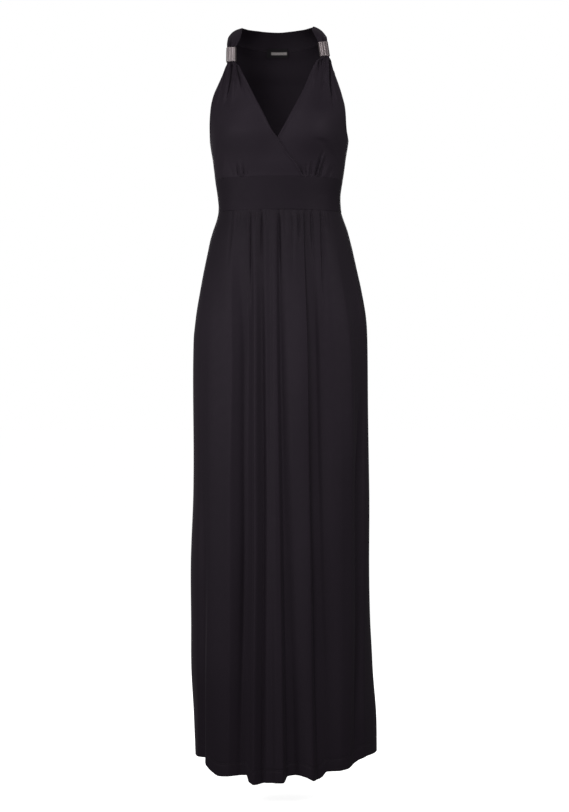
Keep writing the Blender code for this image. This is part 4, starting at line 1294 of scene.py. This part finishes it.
def pewter_material():
    """Warm pewter, softly polished, a little worn and uneven."""
    nodes = Nodes("pewter")
    nodes.set(Base_Color=nodes.between(nodes.noise(*PEWTER_CLOUDS), PEWTER_DARK, PEWTER_LIGHT))
    nodes.set(Metallic=1.0, Roughness=nodes.number(nodes.noise(PEWTER_WEAR), *PEWTER_ROUGHNESS))
    brushed = nodes.noise(PEWTER_BRUSHING, vector=nodes.stretched(PEWTER_STRETCH))
    nodes.set(Normal=nodes.bump(brushed, *PEWTER_BUMP))
    return nodes.material


def label_material():
    """Dark satin with a plain pale woven bar and no lettering."""
    nodes = Nodes("label_satin")
    across = nodes.math("ABSOLUTE", nodes.axis("X"), 0.0)
    above = nodes.math("ABSOLUTE", nodes.math("SUBTRACT", nodes.axis("Z"), BAR_Z), 0.0)
    bar = nodes.math("MULTIPLY", nodes.ramp(across, *BAR_ENDS), nodes.ramp(above, *BAR_EDGES))
    threads = nodes.noise(SATIN_THREADS, 1.0, nodes.stretched(SATIN_STRETCH))
    bar = nodes.math("MULTIPLY", bar, nodes.math("ADD", threads, BAR_FLOOR))
    nodes.set(Base_Color=nodes.between(bar, SATIN_BLACK, SATIN_PALE))
    nodes.set(Roughness=nodes.number(threads, *SATIN_ROUGHNESS), Specular_IOR_Level=SATIN_SPECULAR)
    nodes.set(Normal=nodes.bump(threads, *SATIN_BUMP))
    return nodes.material


def thread_material():
    """Black sewing thread with paler fibres."""
    nodes = Nodes("black_thread")
    nodes.set(Base_Color=nodes.between(nodes.noise(*THREAD_FIBRES), THREAD_DARK, THREAD_LIGHT))
    nodes.set(Roughness=THREAD_ROUGHNESS, Specular_IOR_Level=THREAD_SPECULAR)
    return nodes.material


def floor_material():
    """Pale studio floor with a glow of its own, so that the shadow on it stays faint."""
    nodes = Nodes("pale_floor")
    nodes.set(Base_Color=nodes.between(nodes.noise(FLOOR_CLOUDS), FLOOR_DARK, FLOOR_LIGHT))
    nodes.set(Roughness=FLOOR_ROUGHNESS, Emission_Color=(1, 1, 1, 1), Emission_Strength=FLOOR_GLOW)
    return nodes.material


# ---- Stage ----


def make_floor():
    ways = ((-1, -1), (1, -1), (1, 1), (-1, 1))
    corners = np.array([(x * FLOOR_REACH, y * FLOOR_REACH, FLOOR_Z) for x, y in ways])
    floor = mesh_object("floor", corners, [(0, 1, 2, 3)], floor_material())
    floor.visible_diffuse = False
    floor.visible_glossy = False


def make_light(name, spot, aim, size, power):
    light = bpy.data.lights.new(name, "AREA")
    light.shape = "DISK"
    light.size = size
    light.energy = power
    obj = link(name, light)
    obj.location = spot
    obj.rotation_euler = (Vector(aim) - Vector(spot)).to_track_quat("-Z", "Y").to_euler()


def make_world():
    """White to look at, and a dim sky to be lit by, so that the cloth stays dark in front of white."""
    world = bpy.data.worlds.new("studio")
    bpy.context.scene.world = world
    world.use_nodes = True
    tree = world.node_tree
    sky = tree.nodes["Background"]
    sky.inputs["Color"].default_value = (1, 1, 1, 1)
    sky.inputs["Strength"].default_value = SKY_LIGHT
    white = tree.nodes.new("ShaderNodeBackground")
    white.inputs["Color"].default_value = (1, 1, 1, 1)
    white.inputs["Strength"].default_value = 1.0
    seen = tree.nodes.new("ShaderNodeLightPath")
    choose = tree.nodes.new("ShaderNodeMixShader")
    tree.links.new(seen.outputs["Is Camera Ray"], choose.inputs[0])
    tree.links.new(sky.outputs[0], choose.inputs[1])
    tree.links.new(white.outputs[0], choose.inputs[2])
    tree.links.new(choose.outputs[0], tree.nodes["World Output"].inputs["Surface"])


def make_lights():
    make_world()
    for row in LIGHTS:
        make_light(row.name, (row.x, row.y, row.z), (0, 0, row.aim_z), row.size, row.power)


def make_camera():
    camera = bpy.data.cameras.new("camera")
    camera.sensor_width = SENSOR
    camera.lens = SENSOR * CAMERA_DISTANCE / VIEW_HEIGHT
    obj = link("camera", camera)
    obj.location = (CAMERA_X, -CAMERA_DISTANCE, CAMERA_Z)
    obj.rotation_euler = (np.pi / 2, 0, 0)
    bpy.context.scene.camera = obj


# ---- The dress ----

# How each piece of cloth was cut, in metres, with its area where it isn't a rectangle, and what carries it
Cut = namedtuple("Cut", "width length area held rests_on")


def dress(piece, node, extras=()):
    """The piece stands for the node, and it and its extras ride with the dress."""
    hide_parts(node)
    for each in (piece, *extras):
        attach(each, "root")


def build():
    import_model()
    # Painted shade: the wrong side of each shell gets a darker copy of the jersey
    painted_shade_wrong_side = jersey_material("black_jersey_wrong_side_painted_shade", WRONG_SIDE_PAINTED_SHADE)
    jersey = jersey_material("black_jersey", 1.0), painted_shade_wrong_side
    # Painted shade: the waistband's jersey is a darker copy
    painted_shade_waistband_jersey = jersey_material("black_jersey_waistband_painted_shade", WAISTBAND_PAINTED_SHADE), painted_shade_wrong_side
    # Painted shade: the skirt's jersey darkens towards the waist seam
    painted_shade_skirt_jersey = jersey_material("black_jersey_gathered_painted_shade", 1.0, gathered=True), painted_shade_wrong_side
    pewter = pewter_material()
    thread = thread_material()
    for side in ("right", "left"):
        dress(make_front(side, jersey), "front_bodice_" + side)
        dress(make_sleeve(side, pewter), "strap_sleeve_" + side)
    dress(make_back(jersey), "back_bodice")
    dress(make_neckband(jersey), "neckband")
    dress(make_label(label_material()), "neck_label")
    for face in ("front", "back"):
        dress(make_waistband(face, painted_shade_waistband_jersey), "waistband_" + face)
        dress(make_skirt(face, painted_shade_skirt_jersey), "skirt_" + face, [hem_stitches(face, thread)])
    make_floor()
    make_lights()
    make_camera()
    bpy.context.scene.view_settings.view_transform = "Standard"


build()
